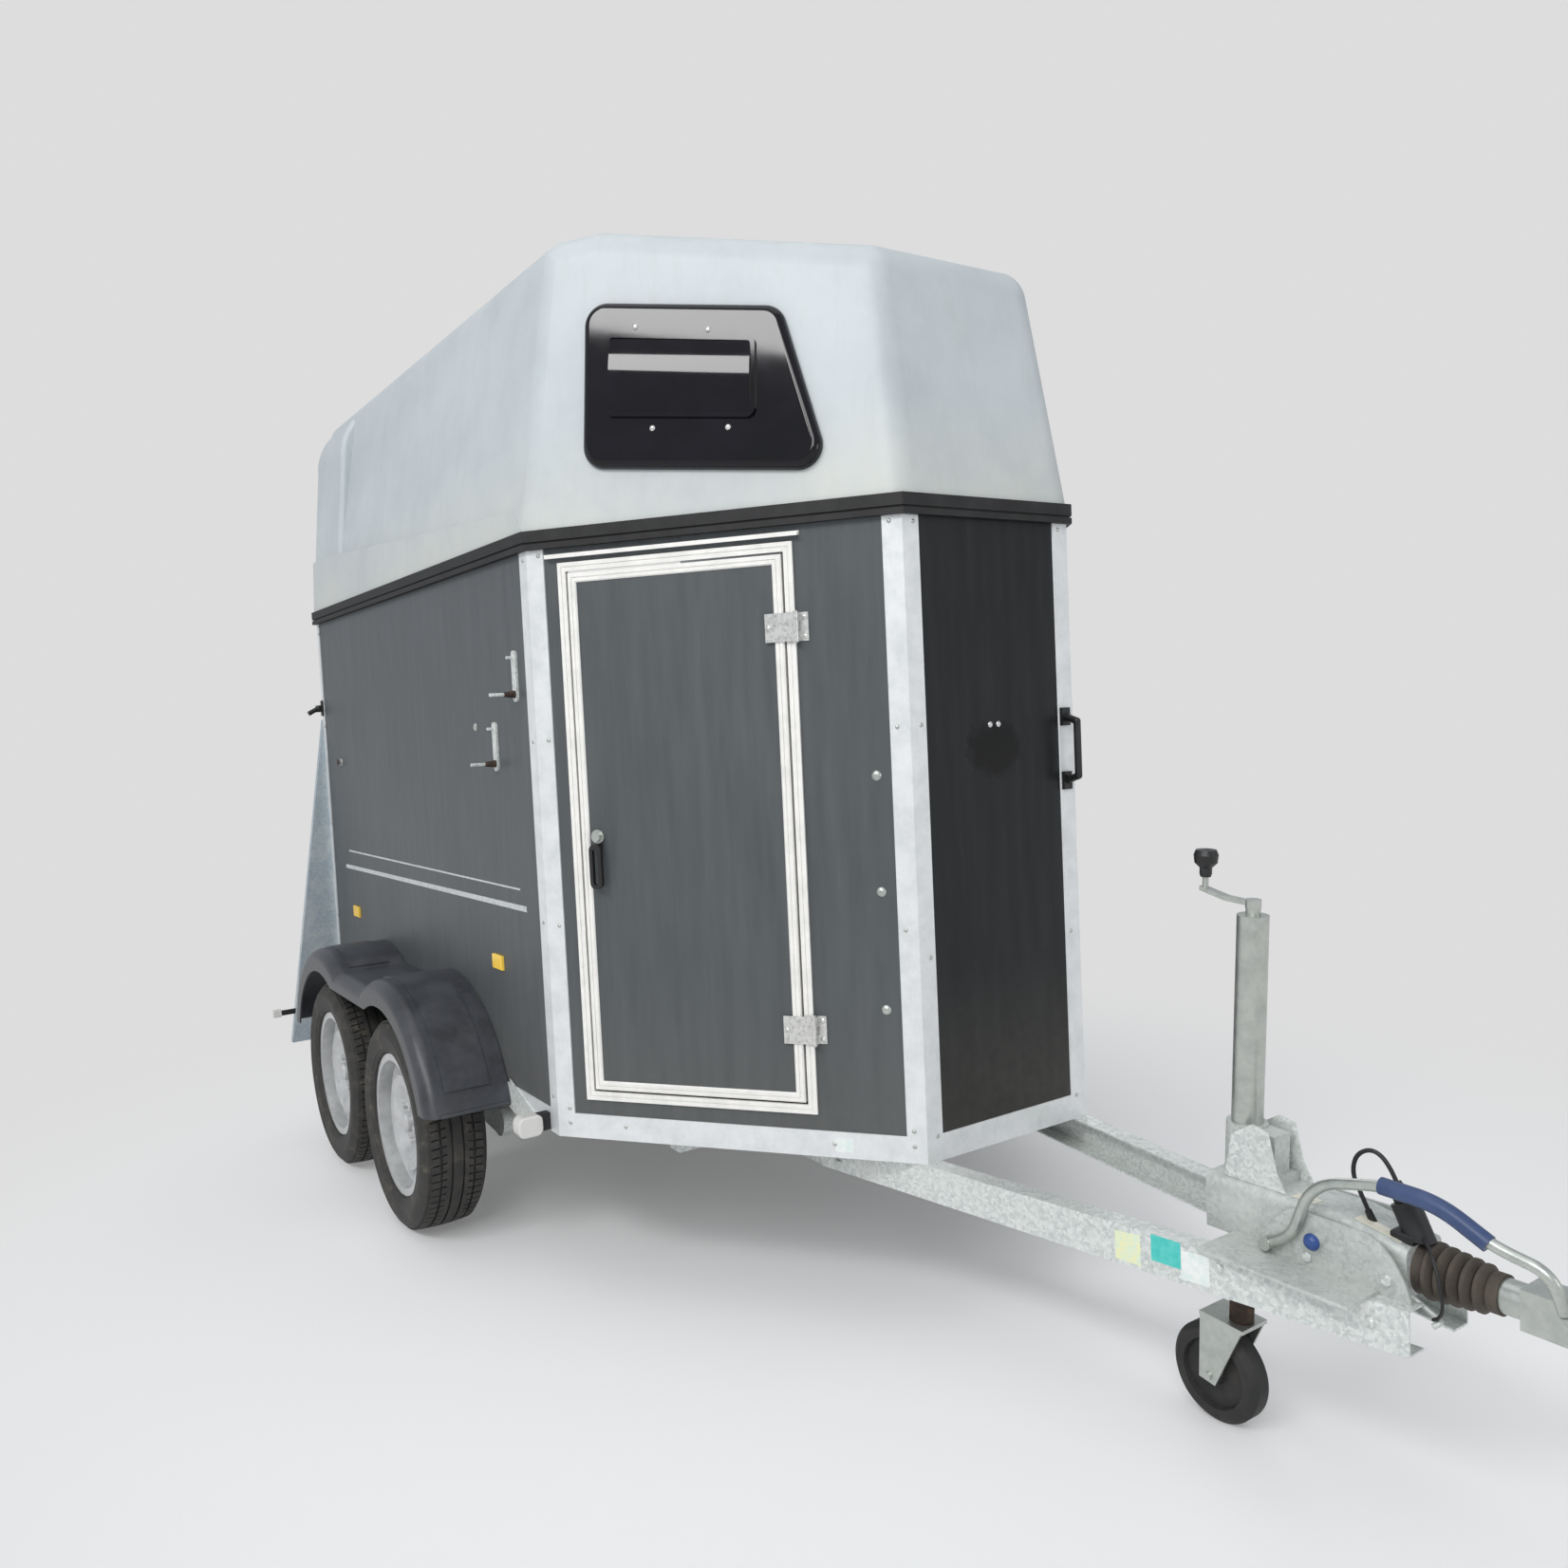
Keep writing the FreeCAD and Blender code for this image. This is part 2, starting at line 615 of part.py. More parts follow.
def door_panel():
    w = LEAF_FRAME_W
    return on_diag(box(LEAF_S0 + w, LEAF_S1 - w, -LEAF_PANEL_PROUD, LEAF_PANEL_BACK, LEAF_Z0 + w, LEAF_Z1 - w))


def hinge_leaves():
    """Door leaves and wall leaves of both hinges, in the trailer's axes."""
    third = HINGE_H / 3
    door_side = []
    wall_side = []
    for zc in HINGE_ZS:
        z0 = zc - HINGE_H / 2
        top = LEAF_FRAME_PROUD
        leaf = box(LEAF_S1 - 44, HINGE_S - HINGE_R + 1, -top - 4, -top, z0, z0 + HINGE_H)
        gap = 0.3
        knuckle = Part.makeCylinder(HINGE_R, third - 2 * gap, V(HINGE_S, -HINGE_D, z0 + third + gap))
        web = box(HINGE_S - HINGE_R - 2, HINGE_S, -HINGE_D - 2, -top, z0 + third + gap, z0 + 2 * third - gap)
        hole = Part.makeCylinder(HINGE_PIN_R + 0.1, HINGE_H, V(HINGE_S, -HINGE_D, z0))
        clear = box(HINGE_S - HINGE_R - 1, HINGE_S + 20, -40, 10, z0 - 1, z0 + third + gap)
        clear2 = box(HINGE_S - HINGE_R - 1, HINGE_S + 20, -40, 10, z0 + 2 * third - gap, z0 + HINGE_H + 1)
        door_side.append(on_diag(fuse([leaf, knuckle, web]).cut(clear).cut(clear2).cut(hole)))
        plate = box(HINGE_S + 3, HINGE_S + 26, -SHEET_T - 1, 0, z0, z0 + HINGE_H)
        parts = [plate]
        for za in (z0, z0 + 2 * third):
            parts.append(Part.makeCylinder(HINGE_R, third, V(HINGE_S, -HINGE_D, za)))
            parts.append(box(HINGE_S + 3, HINGE_S + HINGE_R, -HINGE_D, 0, za, za + third))
        parts.append(Part.makeCylinder(HINGE_PIN_R, HINGE_H + 4, V(HINGE_S, -HINGE_D, z0 - 2)))
        wall_side.append(on_diag(fuse(parts)))
    return Part.makeCompound(door_side), Part.makeCompound(wall_side)


def door_lock():
    d = LEAF_PANEL_PROUD
    plate = Part.makeCylinder(17, 9, V(LOCK_S + 8, -d, LOCK_Z), V(0, -1, 0))
    barrel = Part.makeCylinder(11, 20, V(LOCK_S + 8, -d, LOCK_Z), V(0, -1, 0))
    return on_diag(fuse([plate, barrel]))


def door_handle():
    d = LEAF_PANEL_PROUD
    s = LOCK_S + 8
    z1 = LOCK_Z - 18
    z0 = LOCK_Z - 128
    outer = panel([(s - 17, z1), (s - 17, z0), (s + 15, z0), (s + 15, z1)], 15, 14 + d, 26 + d)
    inner = panel([(s - 8, z1 - 9), (s - 8, z0 + 9), (s + 6, z0 + 9), (s + 6, z1 - 9)], 6.5, 13 + d, 27 + d)
    stem = box(s - 9, s + 9, -26 - d, -14 - d, z1 - 8, LOCK_Z - 18)
    foot = box(s - 9, s + 9, -26 - d, -d, z1 - 14, z1 - 2)
    return on_diag(fuse([outer.cut(inner), stem, foot]))


def tyre(x, side):
    r = WHEEL_R
    h = TYRE_W / 2
    seat = RIM_SEAT_R + 2 + FIT_GAP
    bead = RIM_W / 2 - RIM_T - FIT_GAP
    rise = RIM_FLANGE_R + FIT_GAP
    half = [(seat, bead), (rise, bead), (r - TYRE_BULGE_IN, h), (r - TYRE_SHOULDER_IN, h - TYRE_SHOULDER_DROP),
            (r, TREAD_HALF_W)]
    pts = half + [(q, -y) for q, y in reversed(half)]
    wire = Part.makePolygon([V(q, y, 0) for q, y in pts + pts[:1]])
    solid = Part.Face(wire).revolve(V(0, 0, 0), V(0, 1, 0), 360)
    solid.translate(V(x, side * WHEEL_Y, WHEEL_R))
    return solid


def rim(x, side):
    """Pressed steel wheel, outer face towards +Y before it is placed."""
    h = RIM_W / 2
    t = RIM_T
    face = HUB_FACE_OUT
    seat = RIM_SEAT_R
    well = RIM_WELL_R
    tyre_side = [(RIM_FLANGE_R, -h), (RIM_FLANGE_R, -h + t), (seat + 2, -h + t), (seat, -h + 26), (well, -h + 44),
                 (well, h - 62), (seat, h - 34), (seat + 2, h - t), (RIM_FLANGE_R, h - t), (RIM_FLANGE_R, h)]
    open_side = [(seat - 3, h), (seat - t, h - 34 - t), (well - t, h - 62 - t)]
    disc = [(140, face + 26), (110, face + 26), (78, face + t), (HUB_BORE_R, face + t), (HUB_BORE_R, face),
            (80, face), (112, face + 20), (138, face + 20), (well - t, face - 25)]
    back = [(well - t, -h + 44 + t), (seat - t, -h + 26 + t), (seat - 3, -h)]
    pts = tyre_side + open_side + disc + back
    wire = Part.makePolygon([V(q, y, 0) for q, y in pts + pts[:1]])
    wheel = Part.Face(wire).revolve(V(0, 0, 0), V(0, 1, 0), 360)
    holes = []
    for k in range(HAND_HOLES):
        hole = Part.makeCylinder(8, 60, V(149, face - 16, 0), V(0, 1, 0))
        hole.rotate(V(0, 0, 0), V(0, 1, 0), 360 / HAND_HOLES * k + 13)
        holes.append(hole)
    wheel = wheel.cut(Part.makeCompound(holes))
    bolts = []
    for k in range(WHEEL_BOLTS):
        bolt = Part.makeCylinder(9.5, 15, V(56, face + t - 1, 0), V(0, 1, 0))
        bolt.rotate(V(0, 0, 0), V(0, 1, 0), 360 / WHEEL_BOLTS * k + 7)
        bolts.append(bolt)
    cap = Part.makeCylinder(HUB_BORE_R - 4, 26, V(0, face + t, 0), V(0, 1, 0))
    cap = cap.makeChamfer(6, edges_where(cap, lambda e: e.BoundBox.YMin > face + t + 25))
    flange = Part.makeCylinder(HUB_BORE_R + 6, 4, V(0, face + t - 0.5, 0), V(0, 1, 0))
    wheel = fuse([wheel] + bolts + [flange, cap])
    if side < 0:
        wheel = mirrored(wheel)
    wheel.translate(V(x, side * WHEEL_Y, WHEEL_R))
    return wheel


def axle(x):
    """Rubber-sprung axle tube with its trailing arms, stubs and brake drums."""
    tube_x = x + AXLE_LEAD
    top = RAIL_TOP_Z - BEAM_H
    zc = top - AXLE_TUBE / 2
    half = AXLE_TUBE / 2
    tube = box(tube_x - half, tube_x + half, -AXLE_HALF_L, AXLE_HALF_L, zc - half, zc + half)
    tube = tube.makeFillet(10, edges_where(tube, lambda e: e.BoundBox.YLength > 100))
    solids = [tube]
    for side in (-1, 1):
        y0 = side * AXLE_HALF_L
        y1 = y0 + side * ARM_T
        low, high = min(y0, y1), max(y0, y1)
        hub = Part.makeCylinder(48, ARM_T, V(tube_x, low, zc), V(0, 1, 0))
        eye = Part.makeCylinder(40, ARM_T, V(x, low, WHEEL_R), V(0, 1, 0))
        arm = prism_y([(tube_x, zc + 44), (x, WHEEL_R + 36), (x, WHEEL_R - 36), (tube_x, zc - 44)], low, high)
        drum_face = side * (WHEEL_Y + HUB_FACE_OUT - 1)
        drum = Part.makeCylinder(DRUM_R, DRUM_W, V(x, drum_face, WHEEL_R), V(0, -side, 0))
        drum = drum.makeChamfer(8, edges_where(drum, lambda e: abs(mid(e).y - drum_face) > DRUM_W - 1
                                               and e.BoundBox.YLength < 1))
        stub = rod((x, y1, WHEEL_R), (x, drum_face, WHEEL_R), 32)
        spigot = rod((x, drum_face, WHEEL_R), (x, drum_face + side * 5, WHEEL_R), HUB_BORE_R - FIT_GAP)
        solids += [hub, eye, arm, drum, stub, spigot]
    return fuse(solids)


def beam_y(x):
    """Outer face of a drawbar beam: it closes towards the coupling."""
    return BEAM_END_Y + BEAM_SLOPE * (BEAM_END_X - x)


def channel_section(y_web, top, height, flange, t):
    """Channel open towards the middle, web on the right; Y, Z points."""
    y0 = -y_web
    return [(y0, top - height), (y0, top), (y0 + flange, top), (y0 + flange, top - t), (y0 + t, top - t),
            (y0 + t, top - height + t), (y0 + flange, top - height + t), (y0 + flange, top - height)]


def drawbar():
    x0 = SPLICE_X
    x1 = BEAM_END_X
    section = channel_section(beam_y(x0), BEAM_TOP_Z, BEAM_H, BEAM_FLANGE, BEAM_T)
    wire = Part.makePolygon([V(x0, y, z) for y, z in section + section[:1]])
    beam = Part.Face(wire).extrude(V(x1 - x0, beam_y(x0) - beam_y(x1), 0))
    return both(beam)


def chassis():
    web = beam_y(SPLICE_X)
    section = channel_section(web, RAIL_TOP_Z, BEAM_H, BEAM_FLANGE, BEAM_T)
    rail = prism_x(section, WALL_REAR_X, NOSE_X - FLANGE_IN)
    under = RAIL_TOP_Z
    pieces = []
    for x in CROSS_XS:
        half = plan_half(x + CROSS_W / 2, FLANGE_IN + 1)
        pieces.append(box(x - CROSS_W / 2, x + CROSS_W / 2, -half, half, under - CROSS_H, under))
    ends = box(WALL_REAR_X, WALL_REAR_X + 40, -BODY_HALF_W + FLANGE_IN + 1, BODY_HALF_W - FLANGE_IN - 1,
               under - BEAM_H, under)
    right = rail.cut(box(SPLICE_X, NOSE_X + 100, -BODY_HALF_W, 0, 0, 1000))
    return fuse([right, mirrored(right), ends] + pieces)


GUARD_END_X = AXLE_GAP / 2 + math.sqrt(GUARD_R ** 2 - (GUARD_FOOT_Z - WHEEL_R) ** 2)


def mudguard():
    x1 = AXLE_GAP / 2

    def profile(radius, saddle, foot):
        top = WHEEL_R
        discs = [Part.makeCylinder(radius, 10, V(x, 0, top), V(0, 1, 0)) for x in (-x1, x1)]
        bridge = box(-x1, x1, 0, 10, foot, saddle)
        solid = discs[0].fuse(discs[1]).fuse(bridge).removeSplitter()
        return solid.cut(box(-2000, 2000, -1, 11, -500, foot))

    def block(radius, saddle, foot, y0, y1):
        thin = profile(radius, saddle, foot)
        face = [f for f in thin.Faces if f.BoundBox.YMax < 0.01][0]
        solid = face.extrude(V(0, y1 - y0, 0))
        solid.translate(V(0, y0, 0))
        return solid

    y_out = -GUARD_OUT_Y
    y_in = -BODY_HALF_W - SHEET_T
    outer = block(GUARD_R, GUARD_SADDLE_Z, GUARD_FOOT_Z, y_out, y_in)
    rim_edges = edges_where(outer, lambda e: e.BoundBox.YMax < y_out + 0.01 and mid(e).z > GUARD_FOOT_Z + 1)
    outer = outer.makeFillet(GUARD_EDGE_R, rim_edges)
    y_bead0 = y_out + GUARD_BEAD_IN
    y_bead1 = y_bead0 + GUARD_BEAD_W
    proud = GUARD_R + GUARD_BEAD
    bead = block(proud, GUARD_SADDLE_Z, GUARD_FOOT_Z + GUARD_BEAD_UP, y_bead0, y_bead1)
    bead = bead.cut(box(-GUARD_SADDLE_HALF, GUARD_SADDLE_HALF, y_bead0 - 1, y_bead1 + 1, 0, 1000))
    lip = block(proud, GUARD_SADDLE_Z, GUARD_FOOT_Z, y_out + GUARD_EDGE_R, y_in)
    lip = lip.common(box(-1000, 1000, y_out, y_in, GUARD_FOOT_Z, GUARD_FOOT_Z + GUARD_LIP_H))
    outer = outer.fuse(bead).fuse(lip)
    inner = block(GUARD_R - GUARD_T, GUARD_SADDLE_Z - GUARD_T, GUARD_FOOT_Z - 20, y_out + GUARD_T, y_in + 20)
    rim_edges = edges_where(inner, lambda e: e.BoundBox.YMax < y_out + GUARD_T + 0.01
                            and mid(e).z > GUARD_FOOT_Z - 19)
    inner = inner.makeFillet(GUARD_EDGE_R - GUARD_T, rim_edges)
    mouth = block(GUARD_LIP_R, GUARD_LIP_Z, GUARD_FOOT_Z - 20, y_out - 20, y_out + 60)
    return outer.cut(inner).cut(mouth)


def guard_brackets():
    """Angle plates that hold the mudguards to the body at each end."""
    x1 = GUARD_END_X
    z = GUARD_FOOT_Z
    plates = []
    y0 = -BODY_HALF_W - SHEET_T
    shelf_y = -GUARD_OUT_Y + 60
    tri = prism_y([(x1 - 30, z), (x1 - 30, z - 6), (x1 + 120, z - 40), (x1 + 215, z + 2), (x1 + 6, z + 70),
                   (x1 + 6, z)], y0 - 3, y0)
    plates.append(fuse([tri, box(x1 - 40, x1, shelf_y, y0, z - 3, z)]))
    back = box(-x1, -x1 + 40, shelf_y, y0, z - 3, z)
    strap = box(-x1 - 60, -x1 + 30, y0 - 3, y0, z - 60, z)
    plates.append(fuse([back, strap]))
    return Part.makeCompound(plates + [mirrored(p) for p in plates])


def wing_outline():
    y_in = -(BODY_HALF_W - FLANGE_IN / 2)
    y_wall = -BODY_HALF_W - SHEET_T
    return [(y_in, WING_TOP_Z), (y_wall, WING_TOP_Z), (-WING_OUT_Y, WING_BOTTOM_Z), (y_in, WING_BOTTOM_Z)]


def rear_wings():
    x = WALL_REAR_X - SHEET_T
    y_wall = -BODY_HALF_W - SHEET_T
    plate = prism_x(wing_outline(), x - WING_T, x)
    fold = prism_x([(y_wall, WING_TOP_Z), (-WING_OUT_Y, WING_BOTTOM_Z), (-WING_OUT_Y + WING_T, WING_BOTTOM_Z),
                    (y_wall + WING_T, WING_TOP_Z)], x - WING_FOLD, x)
    return both(fuse([plate, fold]))


def tail_lamps():
    x = WALL_REAR_X - SHEET_T - WING_T
    lamp = box(x - 34, x, -WING_OUT_Y + 34, -BODY_HALF_W - 24, WING_BOTTOM_Z + 40, WING_BOTTOM_Z + 140)
    lamp = lamp.makeFillet(8, edges_where(lamp, lambda e: e.BoundBox.XMax < x - 33))
    return both(lamp)


def marker_lamps():
    """Outline markers on rubber arms at the wings, and the front position lamps."""
    x = WALL_REAR_X - SHEET_T
    y = -WING_OUT_Y + 12
    z = 400.0
    arm = box(x - 16, x - 2, y - 52, y + 30, z - 9, z + 9).cut(prism_x(wing_outline(), x - 30, x + 10))
    head = box(x - 22, x + 4, y - 74, y - 46, z - 14, z + 16)
    head = head.makeFillet(6, edges_where(head, lambda e: e.BoundBox.YLength > 20))
    skin = -BODY_HALF_W - SHEET_T
    inner = skin - FRONT_LAMP_ARM_L
    outer = inner - FRONT_LAMP_W
    x1 = CORNER_X - FRONT_LAMP_BACK
    z0 = FRONT_LAMP_Z - FRONT_LAMP_H / 2
    z1 = FRONT_LAMP_Z + FRONT_LAMP_H / 2
    lens = box(x1 - FRONT_LAMP_DEEP, x1, outer, inner, z0, z1)
    lens = lens.makeFillet(FRONT_LAMP_R, edges_where(lens, lambda e: e.BoundBox.XLength > 5))
    lens = lens.makeFillet(FRONT_LAMP_EDGE_R, edges_where(lens, lambda e: e.BoundBox.XMin > x1 - 0.01))
    bracket = box(x1 - FRONT_LAMP_DEEP, x1 - FRONT_LAMP_EDGE_R - 8, inner - 8, skin, z0 + 6, z1 - 4)
    return Part.makeCompound([both(fuse([arm, head])), both(fuse([lens, bracket]))])


RAMP_X0 = WALL_REAR_X - RAMP_GAP - RAMP_T
RAMP_X1 = WALL_REAR_X - RAMP_GAP
RAMP_PIVOT_X = RAMP_X0 - RAMP_PIVOT_OUT


def ramp_panel():
    w = RAMP_FRAME_W
    return box(RAMP_X0 + 4, RAMP_X1 - 3, -RAMP_HALF_W + w, RAMP_HALF_W - w, RAMP_Z0 + w, RAMP_Z1 - w)


def ramp_frame():
    w = RAMP_FRAME_W
    outer = box(RAMP_X0, RAMP_X1, -RAMP_HALF_W, RAMP_HALF_W, RAMP_Z0, RAMP_Z1)
    inner = box(RAMP_X0 - 1, RAMP_X1 + 1, -RAMP_HALF_W + w, RAMP_HALF_W - w, RAMP_Z0 + w, RAMP_Z1 - w)
    pieces = [outer.cut(inner)]
    for y in RAMP_HINGE_YS:
        pieces.append(rod((RAMP_PIVOT_X, y - 60, RAMP_PIVOT_Z), (RAMP_PIVOT_X, y + 60, RAMP_PIVOT_Z),
                          RAMP_PIN_R + 5))
        pieces.append(box(RAMP_X0 - RAMP_PIVOT_OUT - 5, RAMP_X0 + 16, y - 60, y + 60, RAMP_PIVOT_Z,
                          RAMP_Z0 + 30))
    frame = fuse(pieces)
    for y in RAMP_HINGE_YS:
        frame = frame.cut(rod((RAMP_PIVOT_X, y - 70, RAMP_PIVOT_Z), (RAMP_PIVOT_X, y + 70, RAMP_PIVOT_Z),
                              RAMP_PIN_R + FIT_GAP))
    return frame


def ramp_hinges():
    """Sill brackets and pins that the ramp turns on."""
    solids = []
    for y in RAMP_HINGE_YS:
        parts = [rod((RAMP_PIVOT_X, y - 78, RAMP_PIVOT_Z), (RAMP_PIVOT_X, y + 78, RAMP_PIVOT_Z), RAMP_PIN_R)]
        for y0 in (y - 78, y + 66):
            parts.append(rod((RAMP_PIVOT_X, y0, RAMP_PIVOT_Z), (RAMP_PIVOT_X, y0 + 12, RAMP_PIVOT_Z), RAMP_EAR_R))
            parts.append(box(RAMP_PIVOT_X, WALL_REAR_X, y0, y0 + 12, RAMP_PIVOT_Z - 34, RAMP_PIVOT_Z + RAMP_EAR_R))
        parts.append(box(WALL_REAR_X - 5, WALL_REAR_X, y - 78, y + 78, RAMP_PIVOT_Z - 80, RAMP_PIVOT_Z - 20))
        solids.append(fuse(parts))
    return Part.makeCompound(solids)


def ramp_latches():
    """Lever latches beside the ramp's top corners, on the rear posts."""
    x = WALL_REAR_X
    y = -BODY_HALF_W - SHEET_T
    z = RAMP_Z1 - 16
    base = box(x - SHEET_T, x + 20, y - 6, y, z - 8, z + 52)
    arm = box(x - 34, x + 14, y - 18, y - 6, z + 8, z + 34)
    lever = rod((x - 24, y - 14, z + 21), (x - 24, y - 48, z + 3), 9)
    return both(fuse([base, arm, lever]))


def roller_case():
    """Case of the rolled rear blind under the hood's rear arch."""
    z = 2470.0
    half = BODY_HALF_W - ROLLER_IN
    case = box(WALL_REAR_X + 8, WALL_REAR_X + 98, -half, half, z, z + 90)
    case = case.makeFillet(14, edges_where(case, lambda e: e.BoundBox.YLength > 1000))
    ends = box(WALL_REAR_X + 30, WALL_REAR_X + 76, -half - 80, half + 80, z + 10, z + 60)
    ends = ends.common(hood_hoop(HOOD_T, HOOD_Z0 - 30))
    return fuse([case, ends])


def side_reflectors():
    y = -BODY_HALF_W
    half = REFLECTOR_W / 2
    tall = REFLECTOR_H / 2
    lens = []
    for x, z in ((-716, 804), (732, 819)):
        block = box(x - half, x + half, y - REFLECTOR_T, y, z - tall, z + tall)
        block = block.makeChamfer(2, edges_where(block, lambda e: e.BoundBox.YMax < y - REFLECTOR_T + 0.01))
        lens.append(both(block))
    return Part.makeCompound(lens)


def release_levers():
    """Drop-pin plates outside the side walls that free the breast and rump bars."""
    y = -BODY_HALF_W
    pieces = []
    half = LEVER_PLATE_W / 2
    for x, z in ((BREAST_X, BREAST_Z), (LOW_LEVER_X, LOW_LEVER_Z)):
        plate = box(x - half, x + half, y - LEVER_PLATE_T, y, z - LEVER_PLATE_DOWN, z + LEVER_PLATE_UP)
        plate = plate.makeFillet(half - 1, edges_where(plate, lambda e: e.BoundBox.YLength > LEVER_PLATE_T - 1))
        sleeve = Part.makeCone(LEVER_SLEEVE_R, LEVER_ROD_R + 1.5, LEVER_SLEEVE_L, V(x, y, z), V(0, -1, 0))
        pin = rod((x, y, z), (x, y - LEVER_ROD_L, z), LEVER_ROD_R)
        stud = rod((x, y, z + LEVER_STUD_UP), (x, y - LEVER_STUD_L, z + LEVER_STUD_UP), LEVER_ROD_R - 0.5)
        pieces.append(fuse([plate, sleeve, pin, stud]))
    pieces.append(rod((RUMP_X, y, RUMP_Z), (RUMP_X, y - 14, RUMP_Z), 13))
    return Part.makeCompound([both(p) for p in pieces])


def stall_fittings():
    """Posts, padded partition, and the breast and rump bars."""
    inner = BODY_HALF_W - WALL_T
    post = STALL_POST / 2
    bars = []
    for x, z in ((BREAST_X, BREAST_Z), (RUMP_X, RUMP_Z)):
        bars.append(rod((x, -inner, z), (x, inner, z), BAR_R))
    floor = RAIL_TOP_Z + FLOOR_T
    pieces = []
    for x, top in ((BREAST_X, BREAST_Z + 90), (RUMP_X, RUMP_Z + 70)):
        pieces.append(box(x - post, x + post, -post, post, floor, top))
    rail = rod((RUMP_X, 0, RUMP_Z + 20), (BREAST_X, 0, RUMP_Z + 20), 20)
    rail2 = rod((RUMP_X, 0, floor + 420), (BREAST_X, 0, floor + 420), 20)
    board = box(RUMP_X + post, BREAST_X - post, -9, 9, floor + 420, RUMP_Z + 20)
    brace = rod((BREAST_X, 0, BREAST_Z), (NOSE_X - WALL_T, 0, BREAST_Z), 20)
    return fuse(pieces + [rail, rail2, board, brace] + bars)


def grab_handle():
    x = NOSE_X + SHEET_T
    y = NOSE_HALF_W - 29
    z0 = 1271.0
    z1 = 1428.0
    r = 9
    feet = [box(x, x + 8, y - 14, y + 14, z - 22, z + 22) for z in (z0, z1)]
    bends = []
    for z, sign in ((z0, 1), (z1, -1)):
        bends.append(rod((x + 4, y, z), (x + 42, y, z + sign * 12), r))
        bends.append(Part.makeSphere(r, V(x + 42, y, z + sign * 12)))
    grip = rod((x + 42, y, z0 + 12), (x + 42, y, z1 - 12), r)
    return fuse(feet + bends + [grip])


def lean(shape):
    placed = shape.copy()
    placed.rotate(V(JACK_X, 0, JACK_BOTTOM_Z), V(0, 1, 0), JACK_LEAN)
    return placed


LEAN_AXIS = V(math.sin(math.radians(JACK_LEAN)), 0, math.cos(math.radians(JACK_LEAN)))


def jack_point(dz):
    """A point on the jack's leaning axis, dz above the outer tube's lower end."""
    return V(JACK_X, 0, JACK_BOTTOM_Z) + LEAN_AXIS * dz


# The fork's swivel sits so low on the leaning axis that the jockey wheel meets the floor.
JOCKEY_DROP = (JACK_BOTTOM_Z - JOCKEY_R + FORK_TRAIL * LEAN_AXIS.x) / LEAN_AXIS.z
FORK_TOP = JOCKEY_R + 28.0
SWIVEL_Z = JACK_BOTTOM_Z - JOCKEY_DROP + FORK_TOP


def jack_outer():
    tube = Part.makeCylinder(JACK_OUTER_R, JACK_TOP_Z - JACK_BOTTOM_Z, V(JACK_X, 0, JACK_BOTTOM_Z))
    bore = Part.makeCylinder(JACK_OUTER_R - JACK_TUBE_T, JACK_TOP_Z - JACK_BOTTOM_Z - 6, V(JACK_X, 0, JACK_BOTTOM_Z))
    cap = Part.makeCylinder(14, 14, V(JACK_X, 0, JACK_TOP_Z))
    return lean(fuse([tube.cut(bore), cap]))


def jack_inner():
    r = JACK_OUTER_R - JACK_TUBE_T - FIT_GAP
    low = SWIVEL_Z
    slim = Part.makeCylinder(JACK_INNER_R, JACK_BOTTOM_Z + 60 - low, V(JACK_X, 0, low))
    guide = Part.makeCylinder(r, 60, V(JACK_X, 0, JACK_BOTTOM_Z + 60))
    return lean(fuse([slim, guide]))


def jack_fork():
    z1 = SWIVEL_Z - 0.3
    hub_z = JACK_BOTTOM_Z - JOCKEY_DROP
    x = JACK_X
    half = JOCKEY_W / 2 + 6
    crown = box(x - FORK_TRAIL - 26, x + 30, -half - FORK_T, half + FORK_T, z1 - 8, z1)
    sides = []
    for y0 in (-half - FORK_T, half):
        sides.append(prism_y([(x + 28, z1 - 4), (x - FORK_TRAIL - 24, z1 - 4), (x - FORK_TRAIL - 22, hub_z - 10),
                              (x - FORK_TRAIL + 16, hub_z - 14)], y0, y0 + FORK_T))
    axle_pin = rod((x - FORK_TRAIL, -half - FORK_T - 5, hub_z), (x - FORK_TRAIL, half + FORK_T + 5, hub_z), 8)
    return lean(fuse([crown] + sides + [axle_pin]))


def jockey_wheel():
    hub_z = JACK_BOTTOM_Z - JOCKEY_DROP
    x = JACK_X - FORK_TRAIL
    w = JOCKEY_W / 2
    pts = [(8 + FIT_GAP, -w - 4), (20, -w - 4), (24, -w + 12), (66, -w + 12), (70, -w), (JOCKEY_R - 12, -w), (JOCKEY_R, -w + 12),
           (JOCKEY_R, w - 12), (JOCKEY_R - 12, w), (70, w), (66, w - 12), (24, w - 12), (20, w + 4), (8 + FIT_GAP, w + 4)]
    wire = Part.makePolygon([V(q, y, 0) for q, y in pts + pts[:1]])
    solid = Part.Face(wire).revolve(V(0, 0, 0), V(0, 1, 0), 360)
    solid.translate(V(x, 0, hub_z))
    return lean(solid)


def jack_crank():
    x = JACK_X
    z = JACK_TOP_Z + 14
    hub = Part.makeCylinder(15, 16, V(x, 0, z))
    arm = prism_y([(x, z + 3), (x, z + 12), (x - 60, z + 14), (x - 118, z + 26), (x - 118, z + 17),
                   (x - 60, z + 5)], -9, 9)
    stem = Part.makeCylinder(6, 26, V(x - 110, 0, z + 18))
    return lean(fuse([hub, arm, stem]))


